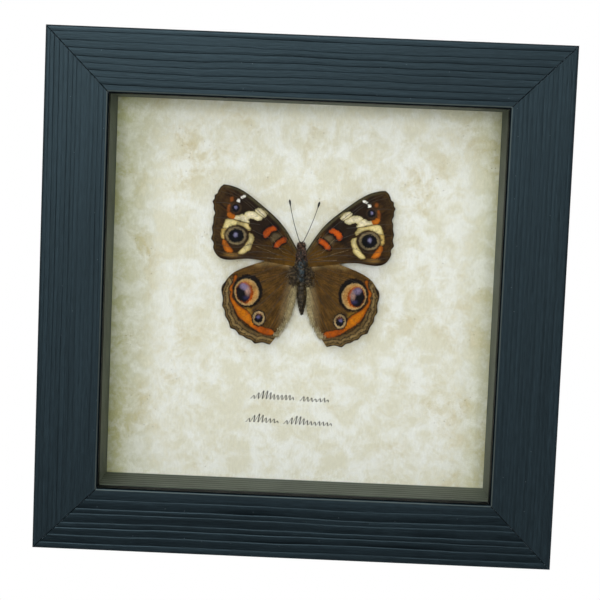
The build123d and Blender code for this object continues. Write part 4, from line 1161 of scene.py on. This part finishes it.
thoraxLook = {"count": 1700, "along": (-4.4, 6.2), "collarFrom": 2.2, "radius": 1.95, "taper": 0.33,
              "sunk": 0.95, "bareFlank": 0.75, "bareShare": 0.8, "lie": (0.3, 0.9), "length": (0.35, 0.75),
              "flankLength": 0.8, "clump": 0.7, "spread": 0.6, "thickness": 0.12}
thoraxHairs, collarHairs = [], []
for count in range(thoraxLook["count"]):
    along = rng.uniform(*thoraxLook["along"])
    turn = rng.uniform(0, 2 * math.pi)
    collar = along > thoraxLook["collarFrom"]
    taper = 1 - thoraxLook["taper"] * (abs(along - 0.3) / 5) ** 2
    radius = thoraxLook["radius"] * taper * thoraxLook["sunk"]
    flank = abs(math.cos(turn))
    # few hairs grow on the middle of the back
    if not collar and flank < thoraxLook["bareFlank"] and rng.random() < thoraxLook["bareShare"]:
        continue
    out = bodyTurn @ Vector((math.cos(turn), math.sin(turn), 0))
    root = bodyPoint(radius * math.cos(turn), radius * math.sin(turn), along)
    back = bodyTurn @ Vector((0, 0, -1))
    lie = out * rng.uniform(*thoraxLook["lie"]) + back * rng.uniform(*thoraxLook["lie"])
    length = rng.uniform(*thoraxLook["length"]) + thoraxLook["flankLength"] * flank * (along < 1)
    strand = (root, combed(lie, root, thoraxLook["clump"], thoraxLook["spread"]), length)
    (collarHairs if collar else thoraxHairs).append(strand)
hairs("thoraxHair", thoraxHairs, hairMaterial("thoraxHairKeratin", "#0C0905", "#7D6B4C"), "insect_body",
      thoraxLook["thickness"])
hairs("collarHair", collarHairs, hairMaterial("collarHairKeratin", "#100806", "#84604C"), "insect_body",
      thoraxLook["thickness"])

# tufts beside the body, where the hindwings start
tuftLook = {"count": 760, "out": 1.7, "outSpread": 0.85, "up": -2.2, "upSpread": 1.5, "upSpan": (-5.6, 0.5),
            "forward": 0.7, "depth": (-0.6, 0.3), "clump": 1.0, "spread": 1.3, "length": (0.5, 1.7),
            "thickness": 0.1}
rootHairs = []
for count in range(tuftLook["count"]):
    side = rng.choice((-1, 1))
    out = tuftLook["out"] + abs(rng.gauss(0, tuftLook["outSpread"]))
    up = rng.gauss(tuftLook["up"], tuftLook["upSpread"])
    if not tuftLook["upSpan"][0] < up < tuftLook["upSpan"][1]:
        continue
    root = Vector((specimenX + side * out, wingY - tuftLook["forward"] + rng.uniform(*tuftLook["depth"]),
                   specimenZ + up)) * mm
    lie = Vector((side * rng.uniform(0.1, 0.8), -rng.uniform(0.0, 0.4), -rng.uniform(0.3, 1.0)))
    rootHairs.append((root, combed(lie, root, tuftLook["clump"], tuftLook["spread"]),
                      rng.uniform(*tuftLook["length"])))
hairs("wingRootHair", rootHairs, hairMaterial("wingRootHairKeratin", "#1D140B", "#7B6649"), "wing_scales",
      tuftLook["thickness"])

# a pale fringe on the hindwings, beside the abdomen
fringeLook = {"line": [(1.2, -4.5), (1.3, -8.4), (3.0, -15.2), (5.2, -18.9), (6.3, -20.4)], "count": 450,
              "inset": 0.05, "insetSpread": 0.7, "shift": 0.4, "length": (0.7, 1.5), "thickness": 0.08}
innerMargin = smoothLine(fringeLook["line"], False, 10)
marginHairs = []
for side, word in bothSides:
    sheet = wings[word, "hind"]
    tree = BVHTree.FromPolygons([v.co for v in sheet.data.vertices],
                                [p.vertices for p in sheet.data.polygons])
    for count in range(fringeLook["count"]):
        spot = innerMargin[rng.randrange(len(innerMargin))] + np.array([
            abs(rng.gauss(0, fringeLook["insetSpread"])) + fringeLook["inset"],
            rng.uniform(-fringeLook["shift"], fringeLook["shift"])])
        start = Vector(((specimenX + side * spot[0]) * mm, frontY * mm, (specimenZ + spot[1]) * mm))
        hit = tree.ray_cast(start, Vector((0, 1, 0)))[0]
        if hit is None:
            continue
        direction = Vector((-side * rng.uniform(0.1, 0.5), -rng.uniform(0.0, 0.12), -1)).normalized()
        marginHairs.append((hit, direction, rng.uniform(*fringeLook["length"])))
hairs("innerMarginHair", marginHairs, hairMaterial("marginHairKeratin", "#877A58", "#B3A67F"), "wing_scales",
      fringeLook["thickness"])

abdomenLook = {"count": 520, "tailGap": 0.6, "lift": (0.15, 0.4), "length": (0.3, 0.6), "thickness": 0.1}
abdomenHairs = []
for count in range(abdomenLook["count"]):
    along = rng.uniform(bodyShape["tail"] + abdomenLook["tailGap"], bodyShape["waist"])
    turn = rng.uniform(0, 2 * math.pi)
    radius = abdomenRadius((bodyShape["waist"] - along) / (bodyShape["waist"] - bodyShape["tail"]))
    out = bodyWay(math.cos(turn), math.sin(turn), 0)
    direction = (out * rng.uniform(*abdomenLook["lift"]) + bodyWay(0, 0, -1)).normalized()
    abdomenHairs.append((bodyPoint(radius * math.cos(turn), radius * math.sin(turn), along), direction,
                         rng.uniform(*abdomenLook["length"])))
hairs("abdomenHair", abdomenHairs, hairMaterial("abdomenHairKeratin", "#0D0904", "#6A5834"), "insect_body",
      abdomenLook["thickness"])

headLook = {"count": 420, "lift": (-0.6, 1.0), "radius": 1.05, "upward": 0.5, "length": (0.25, 0.6),
            "thickness": 0.12}
headHairs = []
for count in range(headLook["count"]):
    turn, lift = rng.uniform(0, 2 * math.pi), rng.uniform(*headLook["lift"])
    out = bodyWay(math.cos(turn), math.sin(turn), lift)
    root = bodyPoint(0, 0, bodyShape["headAt"]) + out * headLook["radius"] * mm
    direction = (out + Vector((0, 0, headLook["upward"]))).normalized()
    headHairs.append((root, direction, rng.uniform(*headLook["length"])))
hairs("headHair", headHairs, hairMaterial("headHairKeratin", "#0C0604", "#8A664F"), "insect_body",
      headLook["thickness"])
print("hair done")


# Pen flourishes below the specimen: two rows of plain ripples, in mm from the case's middle and foot

penShape = {"slant": 0.4, "light": 0.08, "pressed": 0.09, "offCard": 0.05, "pitch": 1.25,
            "heights": (0.8, 1.6), "lastHeight": 0.3, "steps": 10}
penRows = (  # left end, right end, foot line, seed, and the heights it opens with
    (-14.6, -1.2, 43.4, 5, (0.6, 1.4, 2.3, 2.8, 2.4, 1.8)), (0.6, 9.6, 43.2, 6, ()),
    (-15.8, -5.6, 36.1, 8, (0.6, 1.6, 2.6, 2.7, 1.9)), (-4.2, 10.8, 35.9, 9, (0.7, 1.5, 2.5, 2.8, 2.2, 1.6)))


def penStroke(path, base):
    # slanted and pressed harder on the way down, as with a broad nib
    strand = []
    for (x, lift), (nextX, nextLift) in zip(path, path[1:]):
        falling = max(0, (lift - nextLift) / max(1e-6, math.dist((x, lift), (nextX, nextLift))))
        weight = penShape["light"] + penShape["pressed"] * falling
        place = Vector((x + penShape["slant"] * lift, cardLow.y / mm - penShape["offCard"], base + lift)) * mm
        strand.append((place, weight * mm))
    return strand


def ripple(left, right, base, seed, opening):
    # a run of pen ripples of uneven height that dies away
    pen = random.Random(seed)
    waves = round((right - left) / penShape["pitch"])
    heights = [*opening, *(pen.uniform(*penShape["heights"]) for wave in range(waves - len(opening))),
               penShape["lastHeight"]]
    path, steps = [], penShape["steps"]
    for step in range(waves * steps + 1):
        wave, turn = divmod(step / steps, 1)
        height = heights[int(wave)] * (1 - turn) + heights[min(int(wave) + 1, waves)] * turn
        lift = 0.5 * height * (1 - math.cos(2 * math.pi * turn))
        path.append((left + (right - left) * step / waves / steps, lift))
    return penStroke(path, base)


joinedCurves("penFlourishes", [ripple(*row) for row in penRows], penInk(), 1)


# Stage: floor, lamps, a dark cloth behind the camera, and the camera at the photograph's angle

stageLook = {"floorSize": 6.0, "skyLight": 0.15, "roomGlow": 0.2,
             "keyPower": 1.3, "sheenPower": 8.9, "keySize": 0.45, "keyPlace": (-0.18, -0.64, 0.5),
             "fillPower": 14.2, "fillSize": 0.5, "fillPlace": (0.0, -1.3, 0.14),
             "backPower": 7.0, "backSize": 0.7, "backPlace": (0.35, 0.9, 0.5),
             "clothHalf": 1.3, "clothPlace": (0, -1.5, 0.1)}


def studioSheet(name, half, turn, material):
    form = bmesh.new()
    bmesh.ops.create_grid(form, x_segments=1, y_segments=1, size=half, matrix=turn)
    mesh = bpy.data.meshes.new(name)
    form.to_mesh(mesh)
    form.free()
    mesh.materials.append(material)
    sheet = bpy.data.objects.new(name, mesh)
    bpy.context.scene.collection.objects.link(sheet)
    return sheet


# the paper glows to the camera alone, so that the background is white and the object's light stays as it is
paper, paperTree = newMaterial("paleStudioPaper", Base_Color=linear("#F4F4F2"), Roughness=0.9)
glow = addNode(paperTree, "Emission", {"Color": (1, 1, 1, 1), "Strength": 1.0})
paperMix = addNode(paperTree, "MixShader", {0: addNode(paperTree, "LightPath").outputs["Is Camera Ray"],
                                            1: paperTree.nodes["Principled BSDF"].outputs[0],
                                            2: glow.outputs[0]})
paperTree.links.new(paperMix.outputs[0], paperTree.nodes["Material Output"].inputs["Surface"])
floor = studioSheet("studioFloor", stageLook["floorSize"] / 2, Matrix.Identity(4), paper)
floor.visible_glossy = False

world = bpy.data.worlds.new("studio")
world.use_nodes = True
bpy.context.scene.world = world
sky = world.node_tree
sky.nodes["Background"].inputs["Strength"].default_value = stageLook["skyLight"]
sky.nodes["Background"].inputs["Color"].default_value = (1, 1, 1, 1)
white = addNode(sky, "Background", {"Color": (1, 1, 1, 1), "Strength": 1.0})
dim = addNode(sky, "Background", {"Color": (1, 1, 1, 1), "Strength": stageLook["roomGlow"]})
skyPath = addNode(sky, "LightPath")
skyUnlit = addNode(sky, "MixShader", {0: skyPath.outputs["Is Glossy Ray"],
                                      1: sky.nodes["Background"].outputs[0], 2: dim.outputs[0]})
skyMix = addNode(sky, "MixShader", {0: skyPath.outputs["Is Camera Ray"], 1: skyUnlit.outputs[0],
                                    2: white.outputs[0]})
sky.links.new(skyMix.outputs[0], sky.nodes["World Output"].inputs["Surface"])


def softBox(name, place, size, power, lights=True, mirrored=True):
    light = bpy.data.lights.new(name, "AREA")
    light.shape = "SQUARE"
    light.size = size
    light.energy = power
    lamp = bpy.data.objects.new(name, light)
    lamp.location = place
    aim = Vector((0, 0, centreZ * mm)) - Vector(place)
    lamp.rotation_euler = aim.to_track_quat("-Z", "Y").to_euler()
    lamp.visible_camera = False
    lamp.visible_diffuse = lights
    lamp.visible_glossy = mirrored
    bpy.context.scene.collection.objects.link(lamp)


# The key is split, so that it can shine on the paint without throwing the rails' shadow far over the card
softBox("keySoftBox", stageLook["keyPlace"], stageLook["keySize"], stageLook["keyPower"], mirrored=False)
softBox("sheenSoftBox", stageLook["keyPlace"], stageLook["keySize"], stageLook["sheenPower"], lights=False)
softBox("frontSoftBox", stageLook["fillPlace"], stageLook["fillSize"], stageLook["fillPower"], mirrored=False)
softBox("backSoftBox", stageLook["backPlace"], stageLook["backSize"], stageLook["backPower"])

# The dark cloth keeps the white room out of the glass and off the front of the mouldings
clothPlace = Matrix.Translation(stageLook["clothPlace"]) @ Matrix.Rotation(math.radians(90), 4, "X")
blackCloth = newMaterial("blackStudioCloth", Base_Color=linear("#1A1A1C"), Roughness=0.95)[0]
cloth = studioSheet("darkCloth", stageLook["clothHalf"], clothPlace, blackCloth)
cloth.visible_camera = cloth.visible_diffuse = cloth.visible_shadow = False

cameraLook = {"place": (4.12, -445.25, 113.48), "tilt": 85.06, "roll": -2.351, "turn": 0.799, "lens": 89.25}
cameraData = bpy.data.cameras.new("photoCamera")
cameraData.lens = cameraLook["lens"]
cameraData.clip_start = 0.01
camera = bpy.data.objects.new("photoCamera", cameraData)
camera.location = Vector(cameraLook["place"]) * mm
camera.rotation_euler = [math.radians(cameraLook[key]) for key in ("tilt", "roll", "turn")]
bpy.context.scene.collection.objects.link(camera)
bpy.context.scene.camera = camera
bpy.context.scene.view_settings.view_transform = "Standard"
print("stage done")
